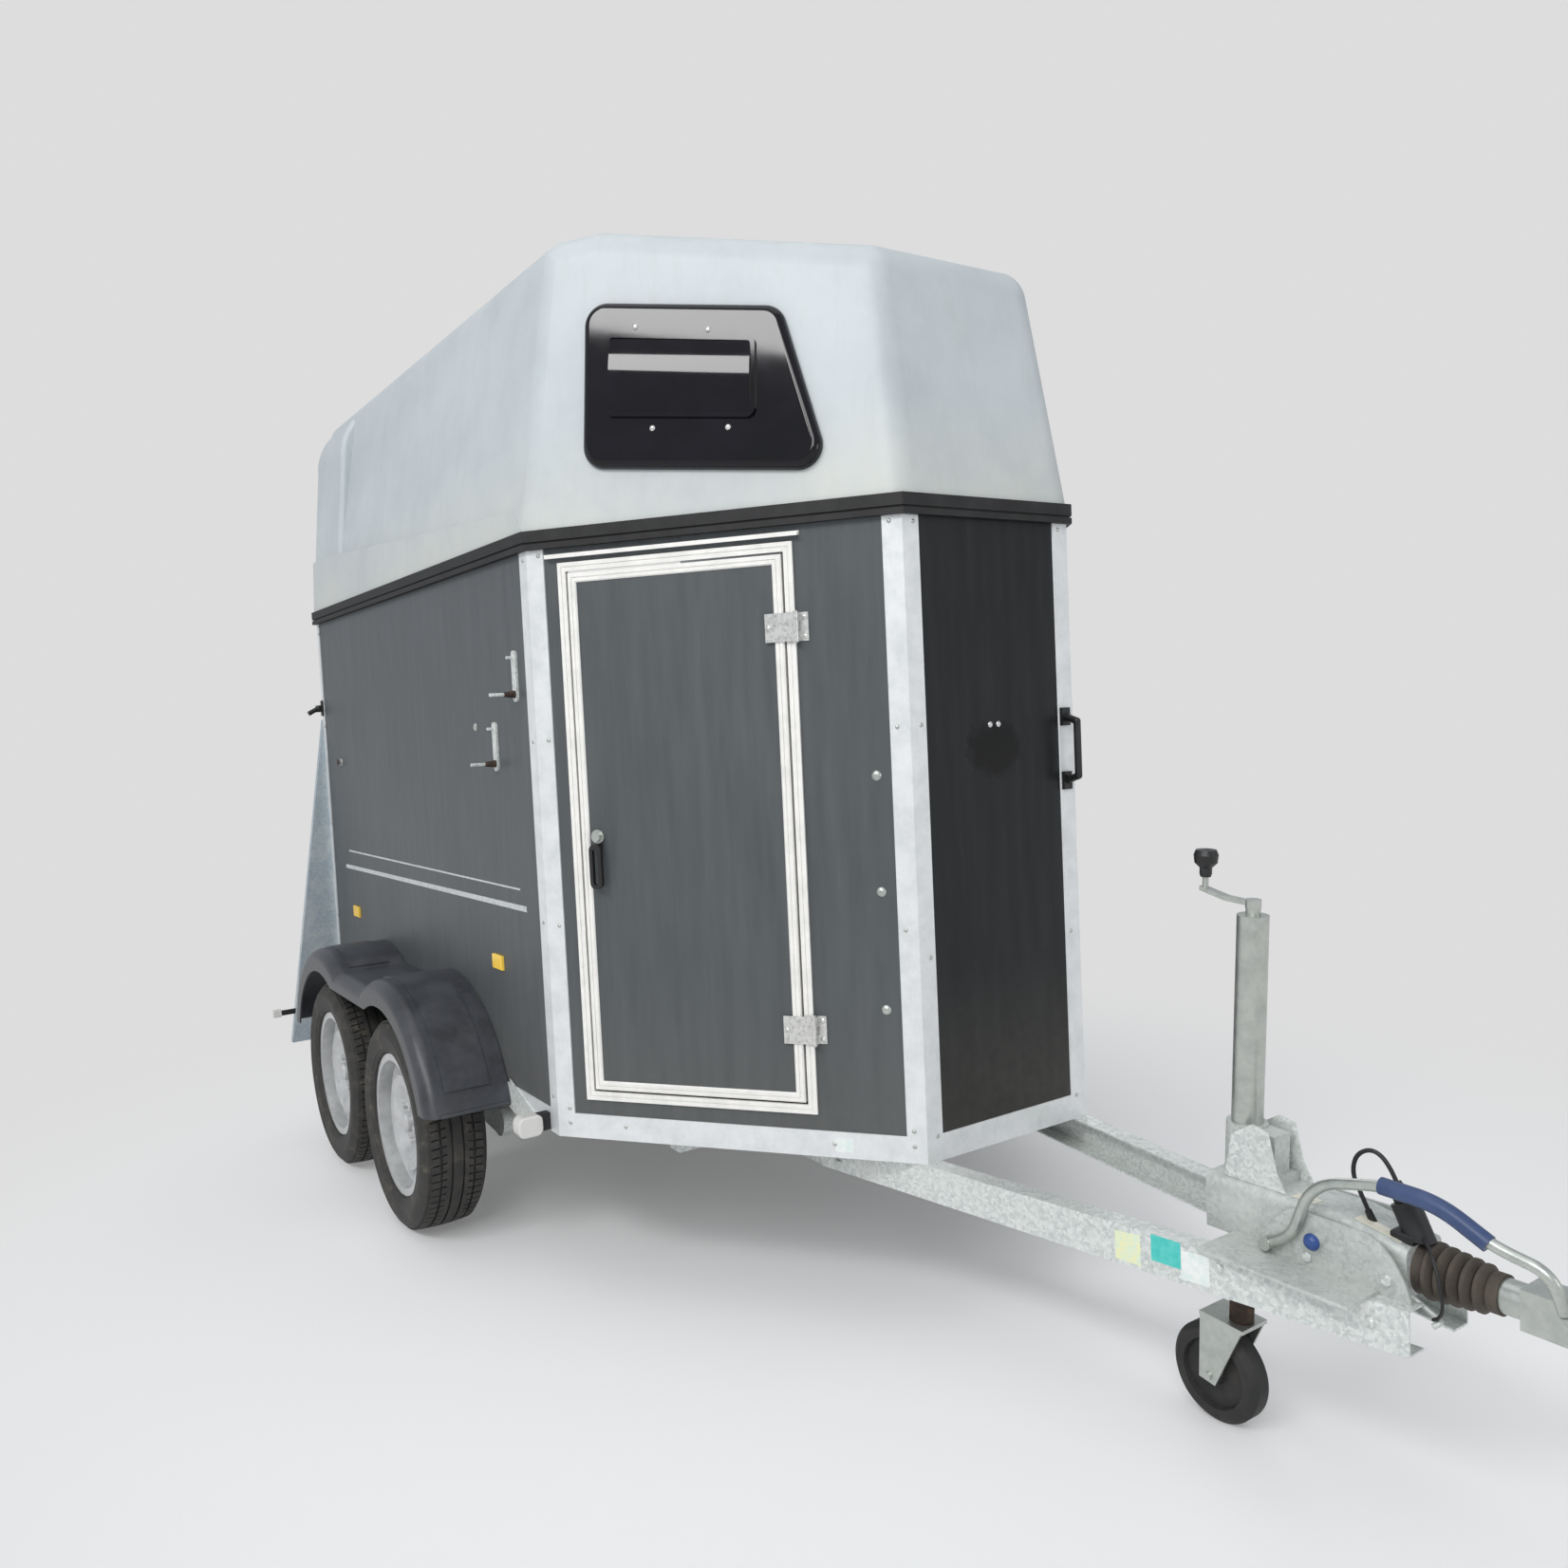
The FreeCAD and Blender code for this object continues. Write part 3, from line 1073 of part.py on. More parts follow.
def crank_knob():
    x = JACK_X - 110
    z = JACK_TOP_Z + 14 + 44
    pts = [(0, 0), (10, 0), (12, 6), (12, 18), (22, 28), (24, 44), (20, 54), (0, 57)]
    wire = Part.makePolygon([V(q, 0, h) for q, h in pts + pts[:1]])
    knob = Part.Face(wire).revolve(V(0, 0, 0), V(0, 0, 1), 360)
    knob.translate(V(x, 0, z))
    return lean(knob)


def jack_clamp():
    """Clamp round the jack's outer tube, on the front face of the drawbar housing."""
    z0 = JACK_BOTTOM_Z + 18
    z1 = z0 + 110
    r = JACK_OUTER_R
    collar = Part.makeCylinder(r + 9, z1 - z0, V(JACK_X, 0, z0))
    ear = box(JACK_X, JACK_X + 78, -24, 24, z0 + 10, z1 - 4)
    web = box(JACK_X - 20, JACK_X + 92, -36, 36, HOUSING_Z1 - 12, z0 + 30)
    bore = Part.makeCylinder(r, 400, V(JACK_X, 0, z0 - 100))
    below = box(JACK_X - 200, JACK_X + 300, -100, 100, HOUSING_Z1 - 200, HOUSING_Z1)
    return lean(fuse([collar, ear, web]).cut(bore)).cut(below)


def housing():
    x0 = HOUSING_X0
    x1 = HOUSING_X1
    h = HOUSING_HALF_W
    side = prism_y([(x0, BEAM_TOP_Z), (x0, HOUSING_Z1), (x1 - 120, HOUSING_Z1), (x1, HOUSING_Z1 - 22),
                    (x1, BEAM_TOP_Z)], -h, h)
    side = side.makeFillet(16, edges_where(side, lambda e: mid(e).z > HOUSING_Z1 - 23 and e.BoundBox.XLength > 50))
    pieces = [side]
    for sgn in (-1, 1):
        y0 = sgn * (h - 4)
        y1 = sgn * (beam_y(x0) + 2)
        low, high = min(y0, y1), max(y0, y1)
        pieces.append(box(x0 + 60, x1 - 40, low, high, BEAM_TOP_Z, BEAM_TOP_Z + 6))
        guard = Part.makeCylinder(150, 5, V(x1 - 130, sgn * (h + 14) - 2.5, BEAM_TOP_Z - 30), V(0, 1, 0))
        guard = guard.common(box(x1 - 280, x1 + 30, -200, 200, BEAM_TOP_Z, HOUSING_Z1 - 8))
        pieces.append(guard)
        pieces.append(rod((x1 - 158, sgn * (h - 6), 478), (x1 - 158, sgn * (h + 30), 478), 13))
    hook = bent_bar(((x1 - 8, -40, 426), (x1 + 30, -40, 408), (x1 + 54, -44, 400), (x1 + 44, -56, 392)), 5)
    pieces.append(hook)
    solid = fuse(pieces)
    return solid.cut(rod((x0 - 200, 0, TUBE_Z), (x0 - 1, 0, TUBE_Z), 40)).cut(
        lean(Part.makeCylinder(JACK_OUTER_R + 1, 600, V(JACK_X, 0, JACK_BOTTOM_Z - 300))))


def bellows():
    x0 = HOUSING_X1
    x1 = BELLOWS_X1
    r0 = BELLOWS_R0
    r1 = BELLOWS_R1
    folds = 5
    pts = [(TUBE_R + 0.3, 0)]
    length = x1 - x0
    pts.append((r0, 0))
    for k in range(folds):
        a = 12 + (length - 34) * k / folds
        step = (length - 34) / folds
        r = r0 + (r1 - r0) * (k + 0.5) / folds
        pts += [(r - 6, a), (r + 5, a + step * 0.35), (r + 5, a + step * 0.65), (r - 6, a + step)]
    pts += [(r1 - 1, length - 18), (r1 - 1, length), (TUBE_R + 0.3, length)]
    wire = Part.makePolygon([V(h, q, 0) for q, h in pts + pts[:1]])
    boot = Part.Face(wire).revolve(V(0, 0, 0), V(1, 0, 0), 360)
    boot.translate(V(x0, 0, TUBE_Z))
    return boot


HEAD_NECK_W = 32.0


def coupling_head():
    """Overrun tube and the pressed ball coupling with its socket open below."""
    tube = rod((HOUSING_X1, 0, TUBE_Z), (3090, 0, TUBE_Z), TUBE_R)
    w = HEAD_NECK_W
    neck = prism_z([(3040, -w), (3160, -w - 4), (3160, w + 4), (3040, w)], TUBE_Z - 34, TUBE_Z + 34)
    cup = Part.makeCylinder(47, 66, V(BALL_X, 0, TUBE_Z - 32))
    cup = cup.makeFillet(16, edges_where(cup, lambda e: e.BoundBox.ZMin > TUBE_Z + 33))
    nose = prism_z([(3150, -36), (BALL_X, -46), (BALL_X, 46), (3150, 36)], TUBE_Z - 32, TUBE_Z + 30)
    socket = Part.makeCylinder(BALL_R, BALL_CUP_DEPTH, V(BALL_X, 0, TUBE_Z - 32))
    dome = Part.makeSphere(BALL_R, V(BALL_X, 0, TUBE_Z - 32 + BALL_CUP_DEPTH))
    return fuse([tube, neck, cup, nose]).cut(socket).cut(dome)


def bent_bar(points, r):
    """Round bar through the points: cylinders joined by ring segments at the bends."""
    parts, _ = arc_path(points)
    return tube_along(parts, r)


def tube_along(edges, r):
    solids = []
    for edge in edges:
        first = edge.valueAt(edge.FirstParameter)
        last = edge.valueAt(edge.LastParameter)
        if isinstance(edge.Curve, Part.Circle):
            start = first
            heading = edge.tangentAt(edge.FirstParameter)
            disc = Part.Face(Part.Wire([Part.Circle(start, heading, r).toShape()]))
            turn = math.degrees(abs(edge.LastParameter - edge.FirstParameter))
            solids.append(disc.revolve(edge.Curve.Center, edge.Curve.Axis, turn))
        else:
            solids.append(Part.makeCylinder(r, (last - first).Length, first, last - first))
    return fuse(solids)


def arc_path(points):
    """Straight runs joined by tangent arcs as large as the shorter run allows."""
    pts = [V(*p) for p in points]
    radii = []
    parts = []
    last = pts[0]
    for i in range(1, len(pts) - 1):
        a = pts[i - 1] - pts[i]
        b = pts[i + 1] - pts[i]
        half_turn = (math.pi - a.getAngle(b)) / 2
        cut = 0.45 * min(a.Length, b.Length)
        radius = cut / math.tan(half_turn)
        radii.append(radius)
        u = a.normalize()
        w = b.normalize()
        start = pts[i] + u * cut
        end = pts[i] + w * cut
        bis = (u + w).normalize()
        centre = pts[i] + bis * math.hypot(cut, radius)
        middle = centre - bis * radius
        parts.append(Part.LineSegment(last, start).toShape())
        parts.append(Part.Arc(start, middle, end).toShape())
        last = end
    parts.append(Part.LineSegment(last, pts[-1]).toShape())
    return parts, radii


LEVER_Y = -HOUSING_HALF_W - 28.0
LEVER_POINTS = ((2610, LEVER_Y, 442), (2668, LEVER_Y, 474), (2712, LEVER_Y, 588), (2850, LEVER_Y, 622),
                (2940, LEVER_Y, 618), (3020, LEVER_Y, 578), (3112, LEVER_Y, 562), (3124, LEVER_Y + 14, 500))
GRIP_POINTS = ((2842, LEVER_Y, 620), (2940, LEVER_Y, 618), (3020, LEVER_Y, 578))


def handbrake():
    bar = bent_bar(LEVER_POINTS, 10)
    foot = rod((3124, LEVER_Y + 14, 500), (3124, -48, 478), 9)
    eye = rod((3124, -52, 478), (3124, -HEAD_NECK_W - 4, 478), 13)
    pivot = rod((2618, -HOUSING_HALF_W - 16.5, 446), (2618, LEVER_Y - 12, 446), 12)
    foot = foot.fuse(eye)
    return fuse([bar, foot, pivot])


GRIP_R = 15.0


def lever_grip():
    """Plastic sleeve over the handbrake lever's top run."""
    sleeve = bent_bar(GRIP_POINTS, GRIP_R)
    bar = bent_bar(LEVER_POINTS, 10)
    return sleeve.cut(bar)


# Light cable: from its gland on the housing, over in a loop, to the parked plug.
CABLE_D = 8.0
CABLE_POINTS = ((2776.0, -16.0, 540.0), (2764.0, -17.0, 566.0), (2748.0, -17.0, 598.0), (2754.0, -14.0, 634.0),
                (2784.0, -12.0, 652.0), (2812.0, -10.0, 634.0), (2826.0, -10.0, 604.0))
# Breakaway cable: from the plug holder's foot, past the bellows, to the hook under the housing.
BREAK_D = 6.0
BREAK_POINTS = ((2882.0, -26.0, 524.0), (2902.0, -44.0, 518.0), (2920.0, -58.0, 494.0), (2930.0, -64.0, 466.0),
                (2934.0, -64.0, 436.0), (2926.0, -58.0, 412.0), (2908.0, -48.0, 400.0))
PLUG_LEN = 56.0
PLUG_R = 17.0
HOLDER_R = 24.0


def cord(points, diameter):
    """Round tube along a route; its volume should be its section times its length."""
    parts, radii = arc_path(points)
    path = Part.Wire(parts)
    tube = tube_along(parts, diameter / 2)
    section = math.pi * diameter ** 2 / 4
    print("cord length", round(path.Length, 1), "volume share", round(tube.Volume / (section * path.Length), 4),
          "radii", [round(r, 1) for r in radii])
    return tube


def step_along(points, first, second, distance):
    """The point that lies a distance from points[first], away from points[second]."""
    a = V(*points[first])
    b = V(*points[second])
    return a + (a - b).normalize() * distance


def cable_gland():
    end = V(*CABLE_POINTS[0])
    back = step_along(CABLE_POINTS, 0, 1, 40)
    cone = Part.makeCone(8, 6, 40, back, end - back)
    return cone.cut(box(2600, 2900, -100, 100, 300, HOUSING_Z1 - 22)).cut(NODES["overrun_housing"])


def plug():
    start = V(*CABLE_POINTS[-1])
    end = step_along(CABLE_POINTS, -1, -2, PLUG_LEN)
    direction = end - start
    neck = Part.makeCone(8, 12, 16, start, direction)
    body = Part.makeCylinder(PLUG_R, PLUG_LEN - 16, start + direction * (16 / PLUG_LEN), direction)
    return fuse([neck, body])


def plug_holder():
    """Rubber parking socket on the housing's sloping top."""
    start = step_along(CABLE_POINTS, -1, -2, 34)
    end = step_along(CABLE_POINTS, -1, -2, 110)
    cup = Part.makeCylinder(HOLDER_R, 76, start, end - start)
    foot = box(HOUSING_X1 - 42, HOUSING_X1, -36, 16, HOUSING_Z1 - 24, HOUSING_Z1 - 4)
    front = box(HOUSING_X1, HOUSING_X1 + 100, -100, 100, HOUSING_Z1 - 100, TUBE_Z + BELLOWS_R0 + 7)
    solid = fuse([cup, foot.makeFillet(5, foot.Edges)]).cut(front)
    return solid.cut(NODES["overrun_housing"]).cut(NODES["plug"])


NODES = {}


def put(name, shape):
    NODES[name] = shape


def main():
    for name, shape in walls().items():
        put(name, shape)
    put("corner_posts", corner_posts())
    put("bottom_rails", bottom_rails())
    put("trim_band", trim_band())
    put("floor_board", floor_board())
    put("hood", hood())
    put("windows", windows())
    put("door_surround", door_surround())
    put("door_frame", door_frame())
    put("door_panel", door_panel())
    door_leaf, wall_leaf = hinge_leaves()
    put("hinge_door_leaves", door_leaf)
    put("hinge_wall_leaves", wall_leaf)
    put("door_lock", door_lock())
    put("door_handle", door_handle())
    put("axles", Part.makeCompound([axle(AXLE_GAP / 2), axle(-AXLE_GAP / 2)]))
    for name, x in (("front", AXLE_GAP / 2), ("rear", -AXLE_GAP / 2)):
        for hand, side in (("right", -1), ("left", 1)):
            put("tyre_" + name + "_" + hand, tyre(x, side))
            put("rim_" + name + "_" + hand, rim(x, side))
    put("drawbar_beams", drawbar())
    put("chassis_rails", chassis())
    put("mudguards", both(mudguard()))
    put("guard_brackets", guard_brackets())
    put("rear_wings", rear_wings())
    put("tail_lamps", tail_lamps())
    put("marker_lamps", marker_lamps())
    put("ramp_panel", ramp_panel())
    put("ramp_frame", ramp_frame())
    put("ramp_hinges", ramp_hinges())
    put("ramp_latches", ramp_latches())
    put("roller_case", roller_case())
    put("side_reflectors", side_reflectors())
    put("release_levers", release_levers())
    put("stall_fittings", stall_fittings())
    put("grab_handle", grab_handle())
    put("jack_outer", jack_outer())
    put("jack_inner", jack_inner())
    put("jack_fork", jack_fork())
    put("jockey_wheel", jockey_wheel())
    put("jack_crank", jack_crank())
    put("crank_knob", crank_knob())
    put("jack_clamp", jack_clamp())
    put("overrun_housing", housing())
    put("bellows", bellows())
    put("coupling_head", coupling_head())
    put("handbrake_lever", handbrake())
    put("lever_grip", lever_grip())
    put("plug", plug())
    put("cable_fittings", Part.makeCompound([cable_gland(), plug_holder()]))
    put("light_cable", cord(CABLE_POINTS, CABLE_D))
    put("breakaway_cable", cord(BREAK_POINTS, BREAK_D))

    whole = FreeCAD.BoundBox()
    for name, shape in NODES.items():
        if name not in ("light_cable", "breakaway_cable", "plug"):
            whole.add(shape.BoundBox)
    middle = (whole.XMin + whole.XMax) / 2
    os.makedirs("parts", exist_ok=True)
    for name, shape in NODES.items():
        shape = shape.copy()
        shape.translate(V(-middle, 0, 0))
        shape.exportStep("parts/" + name + ".step")
        print(name, len(shape.Solids), shape.isValid(), round(shape.Volume / 1e6, 3))
    print("middle", middle, whole)
    return middle


MIDDLE = main()
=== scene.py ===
import json
import math

import bmesh
import bpy
from mathutils import Matrix, Vector


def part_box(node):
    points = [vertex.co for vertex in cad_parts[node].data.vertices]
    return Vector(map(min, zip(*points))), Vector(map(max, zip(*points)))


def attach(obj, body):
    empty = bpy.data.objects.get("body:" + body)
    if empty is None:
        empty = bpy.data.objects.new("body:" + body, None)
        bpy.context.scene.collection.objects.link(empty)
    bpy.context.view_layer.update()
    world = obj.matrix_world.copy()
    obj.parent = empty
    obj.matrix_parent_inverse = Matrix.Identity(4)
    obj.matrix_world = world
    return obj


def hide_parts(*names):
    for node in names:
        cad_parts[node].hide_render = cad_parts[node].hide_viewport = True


# Horse trailer, dressed on its frame. Positions in millimetres are measured with X = 0 midway
# between the axles, as on the drawing; at() turns them into the frame's metres.

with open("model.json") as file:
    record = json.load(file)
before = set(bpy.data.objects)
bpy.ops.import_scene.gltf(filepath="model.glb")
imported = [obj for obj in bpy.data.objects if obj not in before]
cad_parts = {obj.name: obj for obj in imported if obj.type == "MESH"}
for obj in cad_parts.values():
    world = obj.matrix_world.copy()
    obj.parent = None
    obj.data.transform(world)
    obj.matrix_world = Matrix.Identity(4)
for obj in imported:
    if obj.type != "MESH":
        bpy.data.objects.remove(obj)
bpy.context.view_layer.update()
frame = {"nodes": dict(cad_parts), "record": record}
nodes = frame["nodes"]

NOSE_X = 1855.0
OFFSET_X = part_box("nose_wall")[1][0] - NOSE_X / 1000
HALF_WIDTH = 830.0
CORNER_X = 1092.0
SLANT = Vector((0.8, 0.6, 0.0))
SLANT_OUT = Vector((0.6, -0.8, 0.0))


def at(x, y, z):
    """The frame's point in metres for a point of the drawing in millimetres."""
    return Vector((x / 1000 + OFFSET_X, y / 1000, z / 1000))


def on_slant(along, out, z, side=-1):
    """A point by its distance along the slanted wall from the rear corner, off its face, and height."""
    x = CORNER_X + SLANT.x * along + SLANT_OUT.x * out
    y = -HALF_WIDTH + SLANT.y * along + SLANT_OUT.y * out
    return at(x, -side * y, z)


# Camera, as the photograph was taken: 1652 pixels square.
CAMERA_X = 4013.3
CAMERA_Y = -2044.0
CAMERA_Z = 1467.7
CAMERA_YAW = 2.5536
CAMERA_PITCH = -0.0568
CAMERA_ROLL = -0.0469
PHOTO_SIDE_PX = 1652
FOCAL_PX = 1306.42
SENSOR_MM = 36.0


def set_camera():
    """The camera that was solved from the photograph."""
    data = bpy.data.cameras.new("photo_camera")
    camera = bpy.data.objects.new("photo_camera", data)
    bpy.context.scene.collection.objects.link(camera)
    data.sensor_width = SENSOR_MM
    data.lens = FOCAL_PX / PHOTO_SIDE_PX * SENSOR_MM
    data.clip_end = 200
    flat = math.cos(CAMERA_PITCH)
    ahead = Vector((flat * math.cos(CAMERA_YAW), flat * math.sin(CAMERA_YAW), math.sin(CAMERA_PITCH)))
    right = ahead.cross(Vector((0, 0, 1))).normalized()
    up = right.cross(ahead)
    turned_right = right * math.cos(CAMERA_ROLL) + up * math.sin(CAMERA_ROLL)
    turned_up = up * math.cos(CAMERA_ROLL) - right * math.sin(CAMERA_ROLL)
    turn = Matrix((turned_right, turned_up, -ahead)).transposed()
    camera.matrix_world = Matrix.Translation(at(CAMERA_X, CAMERA_Y, CAMERA_Z)) @ turn.to_4x4()
    bpy.context.scene.camera = camera


def linear(code):
    """An sRGB hex colour as the linear values that shaders take."""
    channels = [int(code[i:i + 2], 16) / 255 for i in (1, 3, 5)]
    curved = [c / 12.92 if c <= 0.04045 else ((c + 0.055) / 1.055) ** 2.4 for c in channels]
    return (*curved, 1.0)


def node(tree, kind, inputs=None, stops=None, **settings):
    """Adds a shader node with its settings, its input values or links, and a ramp's stops."""
    made = tree.nodes.new(kind)
    for name, value in settings.items():
        setattr(made, name, value)
    for name, value in (inputs or {}).items():
        if isinstance(value, bpy.types.NodeSocket):
            tree.links.new(value, made.inputs[name])
        else:
            made.inputs[name].default_value = value
    if stops:
        ramp = made.color_ramp
        while len(ramp.elements) < len(stops):
            ramp.elements.new(0.5)
        for element, (place, colour) in zip(ramp.elements, stops):
            element.position = place
            element.color = linear(colour) if isinstance(colour, str) else (colour,) * 3 + (1,)
    return made


def per_mm(size):
    """A texture's scale for features of this many millimetres."""
    return 1000.0 / size


def start(name, **surface):
    """A material with its shader set, and the object coordinates that its patterns read."""
    material = bpy.data.materials.new(name)
    material.use_nodes = True
    tree = material.node_tree
    shader = tree.nodes["Principled BSDF"]
    for key, value in surface.items():
        shader.inputs[key.replace("_", " ")].default_value = value
    place = node(tree, "ShaderNodeTexCoord").outputs["Object"]
    return material, tree, shader, place


def stretch(tree, place, x, y, z):
    """Coordinates scaled on each axis; less than 1 draws a pattern out along it."""
    return node(tree, "ShaderNodeMapping", {"Vector": place, "Scale": (x, y, z)}).outputs[0]


def noise(tree, place, size, detail, roughness=0.5):
    """Noise with features of this many millimetres."""
    return node(tree, "ShaderNodeTexNoise", {"Vector": place, "Scale": per_mm(size), "Detail": detail,
                                             "Roughness": roughness}).outputs[0]


def cells(tree, place, size):
    """Voronoi cells of this many millimetres."""
    return node(tree, "ShaderNodeTexVoronoi", {"Vector": place, "Scale": per_mm(size)})


def spread(tree, value, low, high, first=0.0, last=1.0):
    """Carries a value that runs from first to last over to low and high."""
    return node(tree, "ShaderNodeMapRange", {"Value": value, "From Min": first, "From Max": last,
                                             "To Min": low, "To Max": high}).outputs[0]


def tones(tree, value, *stops):
    """Colours by a value, from stops of a place and a colour."""
    return node(tree, "ShaderNodeValToRGB", {"Fac": value}, stops=stops).outputs[0]


def mix(tree, share, first, second, blend="MIX"):
    """The first colour with a share of the second blended in."""
    return node(tree, "ShaderNodeMixRGB", {"Fac": share, "Color1": first, "Color2": second},
                blend_type=blend).outputs[0]


def combine(tree, operation, first, second):
    """Two values joined by a math operation."""
    return node(tree, "ShaderNodeMath", {0: first, 1: second}, operation=operation).outputs[0]


def height_of(tree, place):
    """The height in metres."""
    return node(tree, "ShaderNodeSeparateXYZ", {"Vector": place}).outputs["Z"]


def finish_surface(tree, shader, colour, rough=None, height=None, bump_mm=0.1, strength=1.0):
    """Links a colour, and where they are given a roughness and a relief, to the shader."""
    tree.links.new(colour, shader.inputs["Base Color"])
    if rough is not None:
        tree.links.new(rough, shader.inputs["Roughness"])
    if height is not None:
        bump = node(tree, "ShaderNodeBump", {"Height": height, "Strength": strength,
                                             "Distance": bump_mm / 1000})
        tree.links.new(bump.outputs[0], shader.inputs["Normal"])


# Heights in millimetres between which road dirt thins out on the walls, and dust on the hood's foot.
WALL_DIRT_Z = (420.0, 850.0)
HOOD_DUST_Z = (1950.0, 2200.0)


def film_faced_ply(name, low, base, high, gloss=0.34, scuffed=False):
    """Film-faced plywood: phenolic film pressed on birch, dull and even, with runs and road dirt."""
    material, tree, shader, place = start(name, Specular_IOR_Level=0.3)
    grain = noise(tree, place, size=1.5, detail=3.0)
    runs = noise(tree, stretch(tree, place, 1, 1, 0.1), size=32, detail=6.0, roughness=0.6)
    cloud = noise(tree, place, size=420, detail=5.0)
    film = tones(tree, runs, (0.30, low), (0.52, base), (0.74, high))
    dusty = mix(tree, 0.12, film, cloud, "SOFT_LIGHT")
    speck = mix(tree, 0.10, dusty, grain, "OVERLAY")
    full, gone = WALL_DIRT_Z
    foot = spread(tree, height_of(tree, place), 0.42, 0.0, first=full / 1000, last=gone / 1000)
    amount = combine(tree, "MULTIPLY", foot, noise(tree, place, size=28, detail=8.0, roughness=0.75))
    colour = mix(tree, amount, speck, linear("#6d675c"))
    rough = spread(tree, cloud, gloss, gloss + 0.2)
    if scuffed:
        colour, rough = rubbed_patch(tree, place, colour, rough)
    finish_surface(tree, shader, colour, rough, grain, bump_mm=0.06, strength=0.35)
    return material


# Rubbed patch on the nose: its middle, and how far each metre from it counts across and up.
PATCH_Y = -2.0
PATCH_Z = 1362.0
PATCH_REACH = (0, 11.5, 15.5)


def rubbed_patch(tree, place, colour, rough):
    """Bare glossy patch on the nose, about 180 mm wide, where a bracket was taken off."""
    centre = at(NOSE_X, PATCH_Y, PATCH_Z)
    offset = node(tree, "ShaderNodeVectorMath", {0: place, 1: tuple(centre)}, operation="SUBTRACT")
    oval = node(tree, "ShaderNodeVectorMath", {0: offset.outputs[0], 1: PATCH_REACH},
                operation="MULTIPLY")
    reach = node(tree, "ShaderNodeVectorMath", {0: oval.outputs[0]}, operation="LENGTH").outputs["Value"]
    worn = combine(tree, "ADD", reach, noise(tree, place, size=30, detail=6.0))
    mask = spread(tree, worn, 0.85, 0.0, first=1.25, last=1.6)
    shiny = combine(tree, "MULTIPLY", rough, combine(tree, "SUBTRACT", 1.0, mask))
    return mix(tree, mask, colour, linear("#060606")), combine(tree, "MAXIMUM", shiny, 0.16)


def drawn_aluminium(name="anodised_aluminium", metal=0.35, low="#d3d6d6", middle="#e2e4e4",
                    high="#eceded"):
    """Anodised aluminium profile with fine upright lines from its die, dulled by weather."""
    material, tree, shader, place = start(name, Metallic=metal)
    lines = noise(tree, stretch(tree, place, 1, 1, 0.02), size=3, detail=4.0)
    weather = noise(tree, place, size=60, detail=8.0, roughness=0.7)
    tone = tones(tree, weather, (0.3, low), (0.55, middle), (0.8, high))
    lined = mix(tree, 0.08, tone, lines, "OVERLAY")
    rough = spread(tree, weather, 0.32, 0.52)
    finish_surface(tree, shader, lined, rough, lines, bump_mm=0.03, strength=0.3)
    return material


def galvanised(name="hot_dip_galvanised", spangle=6.5, light="#e0e3e0", dark="#bec4c1",
               middle="#cfd3d0"):
    """Hot-dip galvanised steel: zinc crystals of 5 to 7 mm, some bright and some grey, and white bloom."""
    material, tree, shader, place = start(name, Metallic=0.3)
    wobble = node(tree, "ShaderNodeTexNoise", {"Vector": place, "Scale": per_mm(spangle * 2),
                                               "Detail": 3.0}).outputs["Color"]
    crystals = cells(tree, mix(tree, 0.012, place, wobble), spangle)
    crystal = node(tree, "ShaderNodeSeparateColor", {"Color": crystals.outputs["Color"]}).outputs
    tone = tones(tree, crystal["Red"], (0.05, dark), (0.45, middle), (0.95, light))
    bloom = noise(tree, place, size=90, detail=9.0, roughness=0.72)
    colour = mix(tree, spread(tree, bloom, 0.0, 0.55, first=0.45, last=0.72), tone, linear("#dde0da"))
    rough = spread(tree, crystal["Green"], 0.34, 0.6)
    finish_surface(tree, shader, colour, rough, crystal["Blue"], bump_mm=0.05, strength=0.2)
    return material


def wing_galvanised():
    """Galvanised sheet of the rear wings: bluish, finer crystals than on the beams."""
    return galvanised("galvanised_sheet", spangle=5.0, light="#b3bec4", dark="#9fabb3",
                      middle="#a9b5bc")


def housing_galvanised():
    """Galvanised pressing of the overrun housing: greyer than the beams, as it is handled and greased."""
    return galvanised("galvanised_pressing", spangle=7.0, light="#c6cac6", dark="#b1b7b3",
                      middle="#bcc1bd")


def door_aluminium():
    """Anodised profile of the groom's door and its surround: paler and warmer than the corner posts."""
    return drawn_aluminium("anodised_door_profile", metal=0.1, low="#dfded9", middle="#eceae5",
                           high="#f3f1ec")


def weathered_gelcoat():
    """Polyester moulding with a silver-grey gelcoat, chalked, with green growth in runs from the roof."""
    material, tree, shader, place = start("silver_gelcoat", Coat_Weight=0.12, Coat_Roughness=0.25)
    chalk = noise(tree, place, size=260, detail=7.0, roughness=0.62)
    runs = noise(tree, stretch(tree, place, 1, 1, 0.11), size=38, detail=8.0, roughness=0.68)
    base = tones(tree, chalk, (0.3, "#b0b7bb"), (0.5, "#b8bfc2"), (0.75, "#c0c6c8"))
    grown = mix(tree, spread(tree, runs, 0.0, 0.22, first=0.5, last=0.74), base, linear("#a3a89a"))
    pore = spread(tree, cells(tree, place, 6).outputs["Distance"], 0.10, 0.0, first=0.0, last=0.25)
    colour = mix(tree, combine(tree, "MULTIPLY", pore, runs), grown, linear("#7d8478"))
    full, gone = HOOD_DUST_Z
    foot = spread(tree, height_of(tree, place), 0.6, 0.0, first=full / 1000, last=gone / 1000)
    dusted = mix(tree, combine(tree, "MULTIPLY", foot, chalk), colour, linear("#cfccb8"))
    rough = spread(tree, chalk, 0.36, 0.6)
    finish_surface(tree, shader, dusted, rough, runs, bump_mm=0.15, strength=0.15)
    return material


